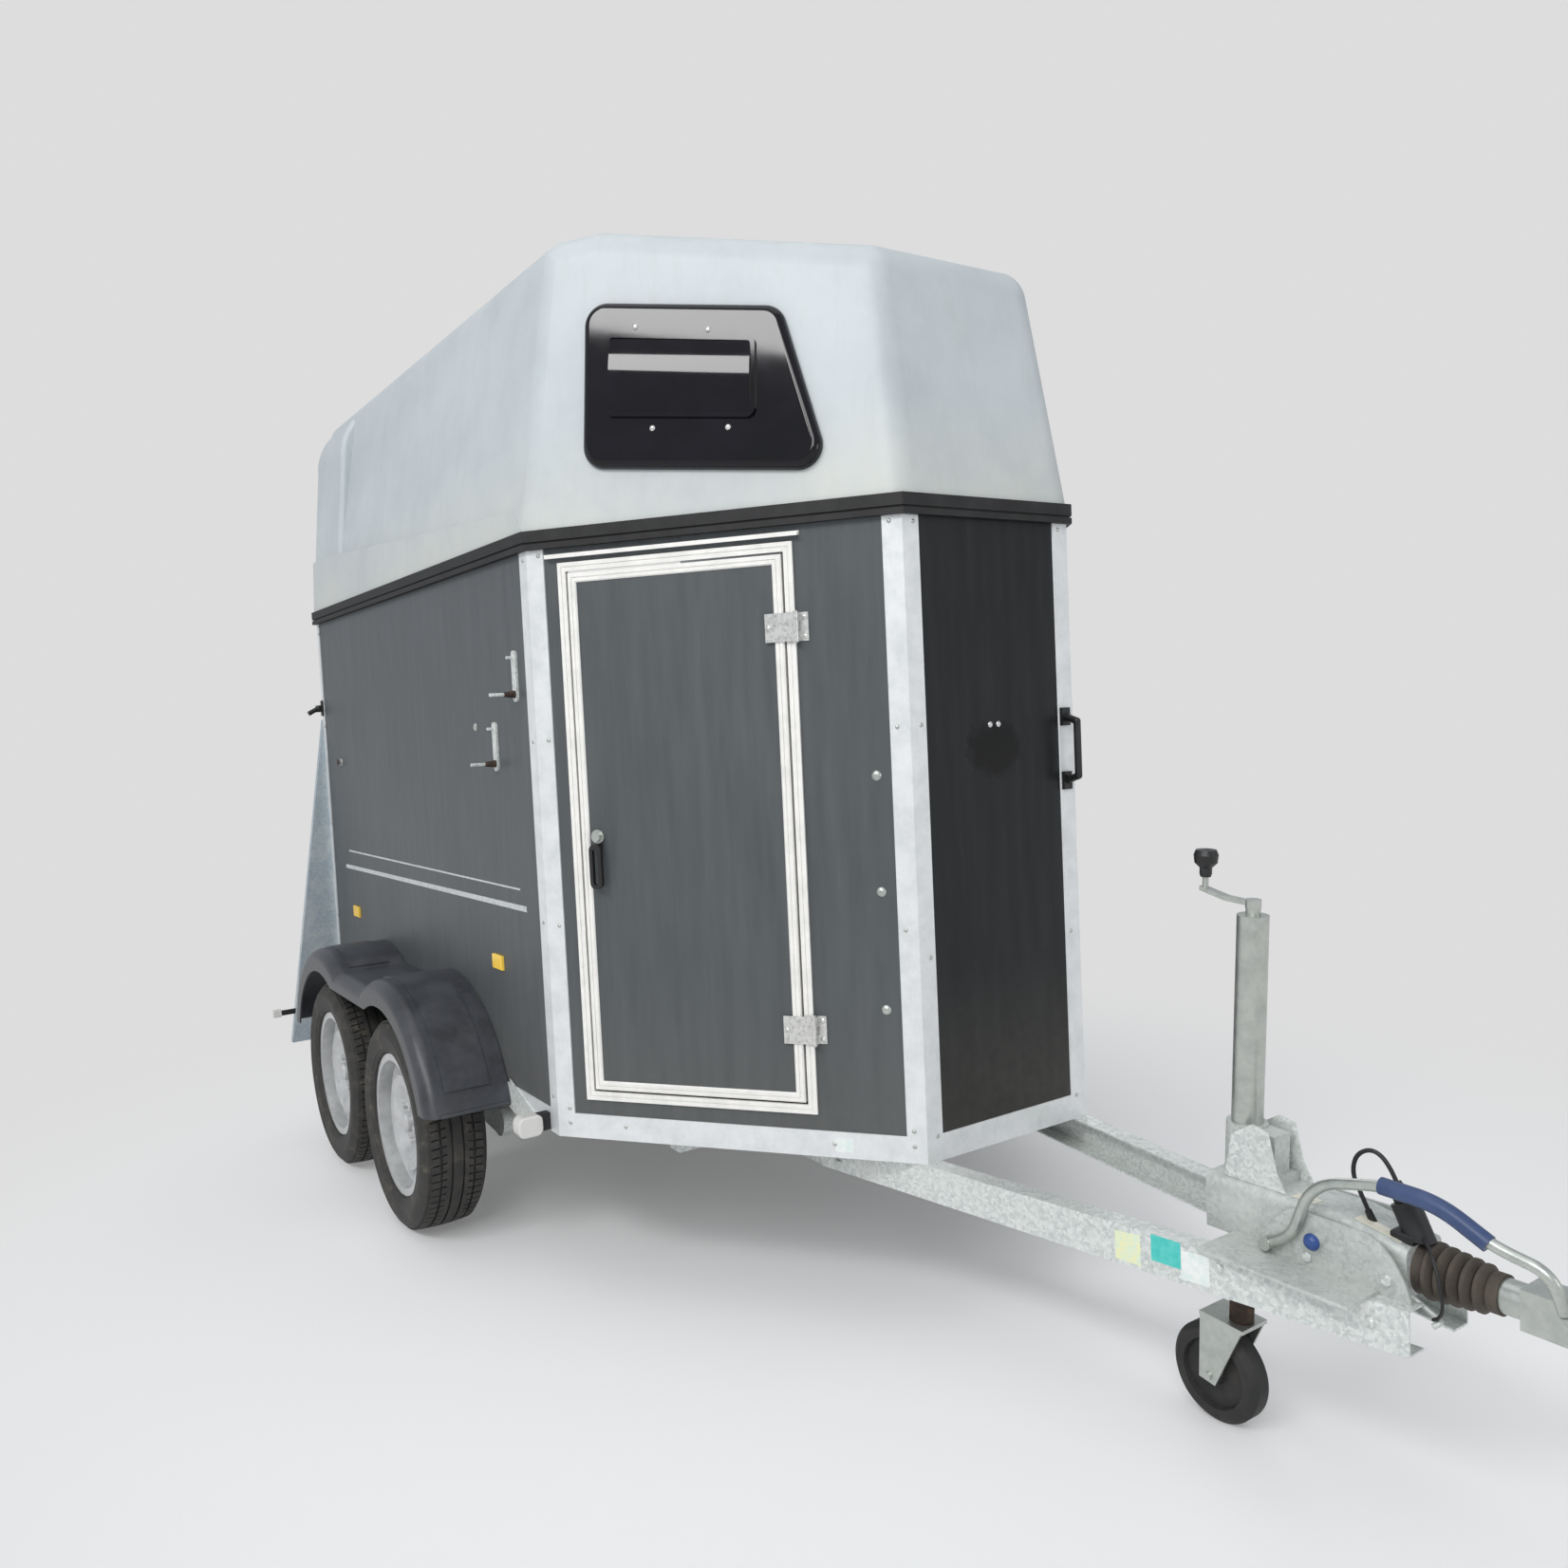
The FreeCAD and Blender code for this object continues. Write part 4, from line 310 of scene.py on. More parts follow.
def smoked_acrylic():
    """Smoked acrylic, vacuum formed: nearly black with a violet cast, glossy, with a film of dust."""
    material, tree, shader, place = start("smoked_acrylic", IOR=1.49, Specular_IOR_Level=0.42)
    dust = noise(tree, place, size=70, detail=8.0)
    tone = tones(tree, dust, (0.35, "#07060b"), (0.7, "#0d0a14"))
    finish_surface(tree, shader, tone, spread(tree, dust, 0.03, 0.08))
    return material


def grained_plastic(name, base, worn, rough=(0.42, 0.62), grain_mm=1.2, bump_mm=0.08):
    """Moulded plastic or rubber with a fine leather grain, greyed where dust and sun have caught it."""
    material, tree, shader, place = start(name)
    grain = cells(tree, place, grain_mm).outputs["Distance"]
    fade = noise(tree, place, size=85, detail=8.0, roughness=0.65)
    colour = tones(tree, fade, (0.38, base), (0.78, worn))
    finish_surface(tree, shader, colour, spread(tree, fade, *rough), grain, bump_mm, strength=0.4)
    return material


def dusted_surface(name, stops, metal, size, detail, roughness, rough, bump_mm, strength):
    """A surface whose colour, roughness and relief all follow one noise of dust, rust or bloom."""
    material, tree, shader, place = start(name, Metallic=metal)
    dust = noise(tree, place, size, detail, roughness)
    finish_surface(tree, shader, tones(tree, dust, *stops), spread(tree, dust, *rough), dust, bump_mm,
                   strength)
    return material


def tyre_rubber():
    """Vulcanised rubber: near black, browned with road dust."""
    stops = ((0.32, "#242424"), (0.55, "#383633"), (0.75, "#655d50"))
    return dusted_surface("tyre_rubber", stops, metal=0.0, size=40, detail=9.0, roughness=0.7,
                          rough=(0.55, 0.85), bump_mm=0.2, strength=0.3)


def rusted_steel():
    """Bare steel tube, rusted through its grease: dark brown with orange flecks."""
    stops = ((0.3, "#231c18"), (0.55, "#40332a"), (0.75, "#7b5436"))
    return dusted_surface("rusted_steel", stops, metal=0.2, size=16, detail=9.0, roughness=0.75,
                          rough=(0.6, 0.9), bump_mm=0.6, strength=0.6)


def zinc_plate(name="dull_zinc_plate"):
    """Electroplated zinc, gone dull, with brown rust in spots."""
    stops = ((0.3, "#aeb3ae"), (0.62, "#c6cac4"), (0.8, "#9c907c"))
    return dusted_surface(name, stops, metal=0.85, size=34, detail=9.0, roughness=0.7,
                          rough=(0.22, 0.46), bump_mm=0.03, strength=0.2)


def bright_steel():
    """Stainless steel of the hinges and screw heads, left bright, with spots of dirt."""
    stops = ((0.35, "#c2c3c0"), (0.6, "#e4e4e1"), (0.85, "#a8a49b"))
    return dusted_surface("stainless_steel", stops, metal=0.7, size=9, detail=6.0, roughness=0.5,
                          rough=(0.2, 0.42), bump_mm=0.04, strength=0.3)


def wheel_paint():
    """Silver wheel enamel over pressed steel, with brake dust and small rust pits."""
    material, tree, shader, place = start("silver_wheel_enamel", Metallic=0.5)
    dust = noise(tree, place, size=45, detail=8.0, roughness=0.7)
    colour = tones(tree, dust, (0.3, "#b4b6b6"), (0.55, "#c9caca"), (0.8, "#d8d9d8"))
    pit = spread(tree, cells(tree, place, 24).outputs["Distance"], 0.5, 0.0, first=0.03, last=0.07)
    rusted = mix(tree, pit, colour, linear("#7a5236"))
    finish_surface(tree, shader, rusted, spread(tree, dust, 0.3, 0.5), dust, bump_mm=0.05, strength=0.2)
    return material


def lens_plastic(name, base, clear=0.25):
    """Coloured lens with moulded prism squares 2 mm apart behind its face; their pale squares are a
    painted glint.
    """
    material, tree, shader, place = start(name, Roughness=0.12, IOR=1.49, Transmission_Weight=clear)
    prism_glints = node(tree, "ShaderNodeTexChecker", {"Vector": place, "Scale": per_mm(2),
                                                 "Color1": linear(base), "Color2": linear("#ffffff")})
    # White squares mixed into the lens colour are a painted glint of the prism moulding; the same squares
    # give its relief.
    colour = mix(tree, 0.12, linear(base), prism_glints.outputs[0])
    finish_surface(tree, shader, colour, None, prism_glints.outputs["Fac"], bump_mm=0.2, strength=0.5)
    return material


def plain_print(name, base, worn):
    """Blank vinyl or paper print, faded in patches."""
    material, tree, shader, place = start(name, Roughness=0.45)
    fade = noise(tree, place, size=14, detail=7.0, roughness=0.7)
    finish_surface(tree, shader, tones(tree, fade, (0.4, base), (0.7, worn)))
    return material


def stall_floor():
    """Plywood floor under a rubber mat: brown-black, rough, trodden in."""
    return grained_plastic("rubber_floor_mat", "#1e1c1a", "#3b352d", rough=(0.7, 0.9), grain_mm=6,
                           bump_mm=0.8)


def dress_nodes():
    """Gives every node of the frame the finish of its material slot, or one of its own."""
    finishes = {
        "wall_laminate": film_faced_ply("film_faced_ply", "#4c5052", "#525658", "#575b5d"),
        "aluminium_profile": drawn_aluminium(),
        "black_trim": grained_plastic("black_rubber_trim", "#131314", "#2c2c2c", rough=(0.5, 0.75)),
        "floor_ply": stall_floor(),
        "grp": weathered_gelcoat(),
        "smoked_window": smoked_acrylic(),
        "galvanised": galvanised(),
        "zinc_plated": zinc_plate(),
        "rusty_steel": rusted_steel(),
        "fork_steel": zinc_plate("jack_fork_zinc"),
        "tyre": tyre_rubber(),
        "wheel_silver": wheel_paint(),
        "guard_plastic": grained_plastic("mudguard_polypropylene", "#333539", "#4d4f55",
                                         rough=(0.28, 0.5), grain_mm=2.0),
        "lamp_lens": lens_plastic("red_lens", "#b3131a"),
        "marker_lens": lens_plastic("white_lens", "#e7e6e0"),
        "amber_reflector": lens_plastic("amber_lens", "#ffd02e", clear=0.0),
        "latch_black": grained_plastic("black_nylon", "#161617", "#2a2a2b", rough=(0.3, 0.5)),
        "jockey_rubber": grained_plastic("jockey_tyre", "#202021", "#3d3a36", rough=(0.6, 0.8)),
        "bellows_rubber": grained_plastic("dusty_bellows_rubber", "#3c352e", "#5e554a",
                                          rough=(0.55, 0.8), grain_mm=3.0),
        "grip_blue": grained_plastic("blue_pvc_sleeve", "#2f4168", "#42557c", rough=(0.3, 0.5),
                                     grain_mm=1.5),
        "cable_black": grained_plastic("flexible_pvc", "#151516", "#2b2b2d", rough=(0.4, 0.6)),
    }
    pressing, door_profile, stainless = housing_galvanised(), door_aluminium(), bright_steel()
    own_finish = {
        # Nose wall: the walls' film-faced ply with much darker colours, painted shade of the nose turned
        # away from the lamps; its bare patch is real.
        "nose_wall": film_faced_ply("nose_ply_painted_shade", "#16181a", "#1c1e20", "#232527",
                                    gloss=0.24, scuffed=True),
        "rear_wings": wing_galvanised(),
        "overrun_housing": pressing,
        "jack_clamp": pressing,
        "door_surround": door_profile,
        "door_frame": door_profile,
        "hinge_door_leaves": stainless,
        "hinge_wall_leaves": stainless,
    }
    for part in frame["record"]["subparts"]:
        name = part["node"]
        finish = own_finish.get(name, finishes[part["material_slot"]])
        mesh = nodes[name].data
        mesh.materials.clear()
        mesh.materials.append(finish)
    finishes["paper"] = plain_print("blank_paper_label", "#dedccf", "#c9c4ae")
    finishes["screw"] = stainless
    return finishes


def recoat(name, finish, test):
    """Gives a second finish to those faces of a node whose middle, on the drawing, passes a test."""
    mesh = nodes[name].data
    mesh.materials.append(finish)
    slot = len(mesh.materials) - 1
    for face in mesh.polygons:
        spot = face.center * 1000
        if test(spot.x - OFFSET_X * 1000, spot.y, spot.z):
            face.material_index = slot


# Where a node changes its finish, in millimetres from the wall, from the middle plane or in height.
LAMP_ARM_OUT = 30.0
TAIL_ARM_X = -900.0
TAIL_ARM_Y = 1062.0
# Beyond this the guard shelves are painted black as shade under the guards' front.
SHELF_SHADE_OUT = 12.0
# Within this of the wall the guards' faces are painted black as shade in the gap between guard and wall.
GUARD_GAP_SHADE_OUT = 14.0
SLEEVE_OUT = (7.0, 38.0)
SLEEVE_ZS = (1549.0, 1369.0)
SLEEVE_REACH = 16.0


def recoat_nodes(finishes):
    """Rubber lamp arms and rusty pin sleeves, and guard shelves and guard edges by the wall in black as
    painted shade.
    """
    rubber = finishes["black_trim"]

    def sleeve(x, y, z):
        near, far = SLEEVE_OUT
        level = min(abs(z - middle) for middle in SLEEVE_ZS)
        return near < abs(y) - HALF_WIDTH < far and level < SLEEVE_REACH

    recoat("marker_lamps", rubber, lambda x, y, z: abs(y) < HALF_WIDTH + LAMP_ARM_OUT
           or x < TAIL_ARM_X and abs(y) < TAIL_ARM_Y)
    # Black on the guard shelves and on the guards' edges by the wall is painted shade.
    recoat("guard_brackets", rubber, lambda x, y, z: abs(y) > HALF_WIDTH + SHELF_SHADE_OUT)
    recoat("mudguards", rubber, lambda x, y, z: abs(y) < HALF_WIDTH + GUARD_GAP_SHADE_OUT)
    recoat("release_levers", finishes["rusty_steel"], sleeve)


def cord_curve(name, points, diameter, finish):
    """A smooth cord whose control points are the route's."""
    curve = bpy.data.curves.new(name, "CURVE")
    curve.dimensions = "3D"
    spline = curve.splines.new("NURBS")
    spline.points.add(len(points) - 1)
    for point, place in zip(spline.points, points):
        point.co = (*at(*place), 1.0)
    spline.order_u = 3
    spline.use_endpoint_u = True
    curve.bevel_depth = diameter / 2000
    curve.bevel_resolution = 5
    curve.resolution_u = 14
    curve.use_fill_caps = True
    curve.materials.append(finish)
    cord = bpy.data.objects.new(name, curve)
    bpy.context.scene.collection.objects.link(cord)
    return cord


# Cords: route and thickness in millimetres.
LIGHT_CABLE = ((2776.0, -16.0, 540.0), (2764.0, -17.0, 566.0), (2748.0, -17.0, 598.0),
               (2754.0, -14.0, 634.0), (2784.0, -12.0, 652.0), (2812.0, -10.0, 634.0),
               (2826.0, -10.0, 604.0))
LIGHT_CABLE_D = 8.0
BREAKAWAY = ((2882.0, -26.0, 524.0), (2902.0, -44.0, 518.0), (2920.0, -58.0, 494.0),
             (2930.0, -64.0, 466.0), (2934.0, -64.0, 436.0), (2926.0, -58.0, 412.0),
             (2908.0, -48.0, 400.0))
BREAKAWAY_D = 6.0


def lay_cords(finish):
    """The lamp cable from its gland to the parked plug, and the breakaway cable down to the brake."""
    light = cord_curve("light_cable_run", LIGHT_CABLE, LIGHT_CABLE_D, finish)
    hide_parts("light_cable")
    pull = cord_curve("breakaway_cable_run", BREAKAWAY, BREAKAWAY_D, finish)
    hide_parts("breakaway_cable")
    for cord in (light, pull):
        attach(cord, "trailer")


def only(piece):
    """Makes this the one selected and active object."""
    bpy.ops.object.select_all(action="DESELECT")
    piece.select_set(True)
    bpy.context.view_layer.objects.active = piece


def pick(piece, kind, test):
    """Selects the vertices, edges or faces of the piece in edit mode that pass a test."""
    bpy.ops.mesh.select_mode(type=kind)
    bpy.ops.mesh.select_all(action="DESELECT")
    shape = bmesh.from_edit_mesh(piece.data)
    for part in {"VERT": shape.verts, "EDGE": shape.edges, "FACE": shape.faces}[kind]:
        part.select_set(bool(test(part)))
    shape.select_flush_mode()
    bmesh.update_edit_mesh(piece.data)


def settle(piece, name, finish, body="trailer", smooth_deg=35):
    """Names a finished piece, puts its place in its mesh, gives it its finish and lets it ride."""
    only(piece)
    bpy.ops.object.transform_apply(location=True, rotation=True, scale=True)
    bpy.ops.object.shade_smooth_by_angle(angle=math.radians(smooth_deg))
    piece.name = name
    piece.data.name = name
    piece.data.materials.clear()
    piece.data.materials.append(finish)
    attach(piece, body)
    return piece


def copies(piece, stands):
    """Copies of a piece that points up, one at each place and turned to each normal, joined as one."""
    made = []
    for place, normal in stands:
        twin = piece.copy()
        twin.data = piece.data.copy()
        bpy.context.scene.collection.objects.link(twin)
        turn = Vector(normal).to_track_quat("Z", "Y").to_matrix().to_4x4()
        twin.matrix_world = Matrix.Translation(place) @ turn
        made.append(twin)
    bpy.data.objects.remove(piece)
    bpy.ops.object.select_all(action="DESELECT")
    for twin in made:
        twin.select_set(True)
    bpy.context.view_layer.objects.active = made[0]
    bpy.ops.object.join()
    return bpy.context.object


def domed_head(radius, height, sides=16):
    """A rivet's or screw's head: a rim, two rings drawn in and up, and a small flat crown."""
    rim = height * 0.25
    bpy.ops.mesh.primitive_cylinder_add(vertices=sides, radius=radius, depth=rim,
                                        location=(0, 0, rim / 2))
    head = bpy.context.object
    bpy.ops.object.mode_set(mode="EDIT")
    pick(head, "FACE", lambda face: face.normal.z > 0.9)
    for inset, rise in ((0.25, 0.45), (0.30, 0.25), (0.25, 0.05)):
        bpy.ops.mesh.inset(thickness=radius * inset, use_boundary=True)
        bpy.ops.transform.translate(value=(0, 0, height * rise))
    bpy.ops.object.mode_set(mode="OBJECT")
    return head


def hex_head(across, height):
    """A hexagon head or nut on its round washer, its corners chamfered."""
    washer_t = 0.0018
    bpy.ops.mesh.primitive_cylinder_add(vertices=28, radius=across * 0.95, depth=washer_t,
                                        location=(0, 0, washer_t / 2))
    washer = bpy.context.object
    bpy.ops.mesh.primitive_cylinder_add(vertices=6, radius=across / math.sqrt(3), depth=height,
                                        location=(0, 0, washer_t + height / 2))
    head = bpy.context.object
    bpy.ops.object.mode_set(mode="EDIT")
    pick(head, "FACE", lambda face: face.normal.z > 0.9)
    bpy.ops.mesh.inset(thickness=across * 0.07)
    bpy.ops.transform.translate(value=(0, 0, height * 0.12))
    bpy.ops.object.mode_set(mode="OBJECT")
    bpy.ops.object.select_all(action="DESELECT")
    washer.select_set(True)
    head.select_set(True)
    bpy.context.view_layer.objects.active = head
    bpy.ops.object.join()
    return bpy.context.object


# Tyre: one half of its section, as distance from the axle and from the middle plane in millimetres,
# from the bead to the edge of the tread, then across the ribs and grooves to the middle. The blocks
# are parted by cross gaps, the closed ribs aren't, and blocks and shoulders lean with the slant.
SIDEWALL = ((191.2, 62.0), (191.2, 70.0), (203.0, 75.5), (211.0, 77.0), (213.5, 84.0), (224.0, 89.5),
            (226.0, 91.3), (230.0, 91.6), (246.0, 95.6), (262.0, 96.4), (264.0, 97.2), (268.0, 97.0),
            (280.0, 92.8), (290.0, 87.4), (297.0, 81.5))
TREAD_YS = (73.0, 62.0, 50.0, 44.0, 31.0, 19.0, 13.0, 0.0)
GROOVES = ((44.0, 50.0), (13.0, 19.0))
CLOSED_RIBS = ((0.0, 13.0), (19.0, 31.0))
TREAD_DEPTH = 6.5
TREAD_CROWN = 4.0
TREAD_EDGE = 73.0
PITCHES = 78
GAP_SHARE = 0.17
TREAD_SLANT = 0.030
SLANT_DEPTH = 24.0
TREAD_SLACK = 2.0


def tread_base(y, outer):
    """The radius at the bottom of the tread, at a distance from the tyre's middle plane."""
    return outer - TREAD_DEPTH - TREAD_CROWN * (y / TREAD_EDGE) ** 2


def road_tyre(node_name, body, finish):
    """One tyre: its section spun round the axle, then the ribs and shoulder blocks raised from it."""
    low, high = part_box(node_name)
    centre = (Vector(low) + Vector(high)) / 2
    outer = (high[2] - low[2]) * 500
    half = list(SIDEWALL) + [(tread_base(y, outer), y) for y in TREAD_YS]
    section = half + [(r, -y) for r, y in reversed(half[:-1])]
    bpy.ops.mesh.primitive_circle_add(vertices=len(section), radius=0.1, location=centre)
    tyre = bpy.context.object
    for vertex, (r, y) in zip(tyre.data.vertices, section):
        vertex.co = (0, y / 1000, r / 1000)
    pitch = 2 * math.pi / PITCHES
    bpy.ops.object.mode_set(mode="EDIT")
    bpy.ops.mesh.select_all(action="SELECT")
    bpy.ops.mesh.spin(steps=2, angle=pitch * (1 - GAP_SHARE), center=centre, axis=(0, 1, 0))
    bpy.ops.mesh.spin(steps=1, angle=pitch * GAP_SHARE, center=centre, axis=(0, 1, 0))
    bpy.ops.mesh.select_all(action="SELECT")
    bpy.ops.mesh.spin(steps=PITCHES - 1, angle=2 * math.pi - pitch, center=centre, axis=(0, 1, 0),
                      dupli=True)
    bpy.ops.mesh.select_all(action="SELECT")
    bpy.ops.mesh.remove_doubles(threshold=0.0002)
    bpy.ops.mesh.normals_make_consistent(inside=False)

    def raised(face):
        spot = face.calc_center_median() * 1000
        radius = math.hypot(spot.x, spot.z)
        y = abs(spot.y)
        if radius < outer - TREAD_DEPTH - TREAD_CROWN - TREAD_SLACK or y > TREAD_EDGE:
            return False
        if any(near < y < far for near, far in GROOVES):
            return False
        turned = (math.atan2(-spot.x, spot.z) % pitch) / pitch
        return turned <= 1 - GAP_SHARE or any(near < y < far for near, far in CLOSED_RIBS)

    pick(tyre, "FACE", raised)
    bpy.ops.mesh.extrude_region_shrink_fatten(TRANSFORM_OT_shrink_fatten={"value": TREAD_DEPTH / 1000})
    bpy.ops.object.mode_set(mode="OBJECT")
    for vertex in tyre.data.vertices:
        y = abs(vertex.co.y) * 1000
        radius = math.hypot(vertex.co.x, vertex.co.z)
        if radius * 1000 > outer - SLANT_DEPTH:
            angle = math.atan2(vertex.co.x, vertex.co.z) + TREAD_SLANT * y / TREAD_EDGE
            vertex.co.x = radius * math.sin(angle)
            vertex.co.z = radius * math.cos(angle)
    settle(tyre, node_name + "_treaded", finish, body, 30)
    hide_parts(node_name)


# Rivets: how far they stand off the wall and their size, then their places: distance along the slanted
# wall and height, distance from the middle and height on the nose, and X with heights on the side wall.
FACE_OUT = 3.3
RIVET_R = 5.2
RIVET_H = 3.2
SLANT_RIVETS = ((33, 1883), (33, 1428), (33, 962), (33, 496), (33, 459), (188, 458), (733, 454),
                (925, 1885), (925, 1425), (925, 963), (925, 497), (925, 461))
NOSE_RIVETS = ((228, 1883), (228, 1427), (228, 896), (228, 481))
SIDE_RIVETS = ((1070, (1877, 1425, 967, 520)), (-1012, (1860, 1500, 1120, 760, 500)))


def slant_normal(side):
    """The outward direction of a slanted wall."""
    return Vector((SLANT_OUT.x, -side * SLANT_OUT.y, 0))


def rivets(finish):
    """Blind rivets along the corner posts and the sill, the same on both sides."""
    stands = []
    for side in (-1, 1):
        for along, z in SLANT_RIVETS:
            stands.append((on_slant(along, FACE_OUT, z, side), slant_normal(side)))
        for y, z in NOSE_RIVETS:
            stands.append((at(NOSE_X + FACE_OUT, side * y, z), (1, 0, 0)))
        for x, heights in SIDE_RIVETS:
            for z in heights:
                stands.append((at(x, side * (HALF_WIDTH + FACE_OUT), z), (0, side, 0)))
    head = domed_head(RIVET_R / 1000, RIVET_H / 1000)
    settle(copies(head, stands), "post_rivets", finish)


# Coach bolts: those on the slanted wall by distance along it and heights, those on the side wall by
# X and height, and the head's size.
BOLT_ALONG = 871.0
BOLT_ZS = (1317, 1050, 777)
SIDE_BOLTS = ((-838, 1365), (655, 1470))
BOLT_R = 11.5
BOLT_H = 6.5


def coach_bolts(finish):
    """Mushroom heads of the bolts that hold the inner fittings."""
    stands = []
    for side in (-1, 1):
        for z in BOLT_ZS:
            stands.append((on_slant(BOLT_ALONG, 0, z, side), slant_normal(side)))
        for x, z in SIDE_BOLTS:
            stands.append((at(x, side * HALF_WIDTH, z), (0, side, 0)))
    head = domed_head(BOLT_R / 1000, BOLT_H / 1000, 24)
    settle(copies(head, stands), "coach_bolt_heads", finish)


# The hood's slanted face: its foot, how far it stands off the wall there, and its lean, which is
# 90 mm inwards over 655 mm of height.
HOOD_FOOT_Z = 1945.0
HOOD_FACE_OUT = 8.0
HOOD_FACE_LEAN = math.atan(90.0 / 655.0)


def on_hood(along, off, z, side=-1):
    """A point on the leaning slanted face of the hood, off its face, and the face's outward direction."""
    rise = z - HOOD_FOOT_Z
    out = HOOD_FACE_OUT + off * math.cos(HOOD_FACE_LEAN) - rise * math.sin(HOOD_FACE_LEAN)
    up = HOOD_FOOT_Z + off * math.sin(HOOD_FACE_LEAN) + rise * math.cos(HOOD_FACE_LEAN)
    level = math.cos(HOOD_FACE_LEAN)
    normal = Vector((SLANT_OUT.x * level, -side * SLANT_OUT.y * level, math.sin(HOOD_FACE_LEAN)))
    return on_slant(along, out, up, side), normal


def strip(name, corners, finish, thickness_mm=0.4):
    """A thin printed or glued strip: a plane with four given corners and a thickness outwards."""
    bpy.ops.mesh.primitive_plane_add(size=1)
    piece = bpy.context.object
    for vertex, corner in zip(piece.data.vertices, (corners[0], corners[1], corners[3], corners[2])):
        vertex.co = corner
    bpy.ops.object.mode_set(mode="EDIT")
    bpy.ops.mesh.select_all(action="SELECT")
    bpy.ops.mesh.subdivide(number_cuts=3)
    bpy.ops.object.mode_set(mode="OBJECT")
    thick = piece.modifiers.new("thickness", "SOLIDIFY")
    thick.thickness = thickness_mm / 1000
    thick.offset = 1.0
    bpy.ops.object.modifier_apply(modifier=thick.name)
    return settle(piece, name, finish)


# Side stripes: name, rear X and height, front X and height, width at the rear and at the front.
STRIPES = (("thin_stripe", -787.0, 1028.0, 916.0, 1037.0, 6.0, 5.0),
           ("wide_stripe", -843.0, 966.0, 954.0, 988.0, 14.0, 15.0))


def stripes(finish):
    """The two silver stripes along each side wall, rising towards the front."""
    for side in (-1, 1):
        hand = "right" if side < 0 else "left"
        y = side * (HALF_WIDTH + 0.1)
        for name, x0, z0, x1, z1, w0, w1 in STRIPES:
            corners = [at(x0, y, z0 - w0 / 2), at(x1, y, z1 - w1 / 2), at(x1, y, z1 + w1 / 2),
                       at(x0, y, z0 + w0 / 2)]
            if side > 0:
                corners.reverse()
            strip(f"{name}_{hand}", corners, finish)


# Screws: along the slanted wall and height on the windows; along it and off its face on the hinges,
# at a rise from the hinge's middle.
WINDOW_FACE = 26.5
WINDOW_SCREWS = ((314, 2408), (503, 2373), (361, 2154), (554, 2133))
HINGE_HEIGHTS = (725.0, 1665.0)
DOOR_LEAF_SCREW = (633, 15)
WALL_LEAF_SCREW = (718, 4)
WALL_LEAF_RISE = 22
HINGE_PIN = (700, 17)
HINGE_PIN_END = 34
NOSE_SCREW_YS = (-14, 12)
NOSE_SCREW_Z = 1419.0
SCREW_R = 7.0
SCREW_H = 4.5


def screws(finish):
    """Screws of the windows, the hinges and the nose patch, and the round ends of the hinge pins."""
    stands = []
    for side in (-1, 1):
        stands += [on_hood(along, WINDOW_FACE, z, side) for along, z in WINDOW_SCREWS]
    out = slant_normal(-1)
    for z in HINGE_HEIGHTS:
        stands.append((on_slant(*DOOR_LEAF_SCREW, z), out))
        for way in (-1, 1):
            stands.append((on_slant(*WALL_LEAF_SCREW, z + way * WALL_LEAF_RISE), out))
        for way in (-1, 1):
            stands.append((on_slant(*HINGE_PIN, z + way * HINGE_PIN_END), (0, 0, way)))
    stands += [(at(NOSE_X, y, NOSE_SCREW_Z), (1, 0, 0)) for y in NOSE_SCREW_YS]
    head = domed_head(SCREW_R / 1000, SCREW_H / 1000, 20)
    settle(copies(head, stands), "bright_screw_heads", finish)


# Overrun housing: half width, height of its top, and where and how steeply the top falls in front.
HOUSING_SIDE = 72.5
HOUSING_TOP = 530.2
HOUSING_BEND = 2748.0
HOUSING_FALL = 22 / 120
# Drawbar beams: front end, distance of the outer face from the middle there, and its spread rearwards.
BEAM_END = 2892.0
BEAM_END_Y = 94.0
BEAM_SLOPE = 0.1666
# Bolts as X and height, and the X of those in the beams' lower flanges, with their height and inset.
BEAM_BOLTS = ((1578, 402), (1578, 362), (2560, 396), (2830, 384))
HOUSING_BOLTS = ((2693, 442), (2843, 452))
FLANGE_BOLT_XS = (2560, 2700, 2800)
FLANGE_BOLT_Z = 341
FLANGE_BOLT_IN = 24
HEX_ACROSS = 17.0
HEX_HEIGHT = 9.0


def beam_face(x, z, side=-1, off=0.0):
    """A point on the outer face of a drawbar beam, which closes towards the coupling."""
    return at(x, side * (BEAM_END_Y + BEAM_SLOPE * (BEAM_END - x) + off), z)


def drawbar_bolts(finish):
    """Hexagon bolts of the drawbar, the housing and the chassis splice."""
    stands = []
    for side in (-1, 1):
        for x, z in BEAM_BOLTS:
            stands.append((beam_face(x, z, side), (-BEAM_SLOPE, side, 0)))
        for x, z in HOUSING_BOLTS:
            stands.append((at(x, side * HOUSING_SIDE, z), (0, side, 0)))
        for x in FLANGE_BOLT_XS:
            stands.append((beam_face(x, FLANGE_BOLT_Z, side, -FLANGE_BOLT_IN), (0, 0, -1)))
    head = hex_head(HEX_ACROSS / 1000, HEX_HEIGHT / 1000)
    settle(copies(head, stands), "drawbar_bolts", finish, smooth_deg=25)


# Caps on the handbrake shaft: place of their inner face, and size.
CAP_X = 2710
CAP_Y = 86
CAP_Z = 478
CAP_R = 15.5
CAP_H = 13.0


def blue_caps(finish):
    """Plastic caps pushed over the ends of the handbrake shaft."""
    stands = [(at(CAP_X, side * CAP_Y, CAP_Z), (0, side, 0)) for side in (-1, 1)]
    cap = domed_head(CAP_R / 1000, CAP_H / 1000, 28)
    settle(copies(cap, stands), "shaft_caps", finish)


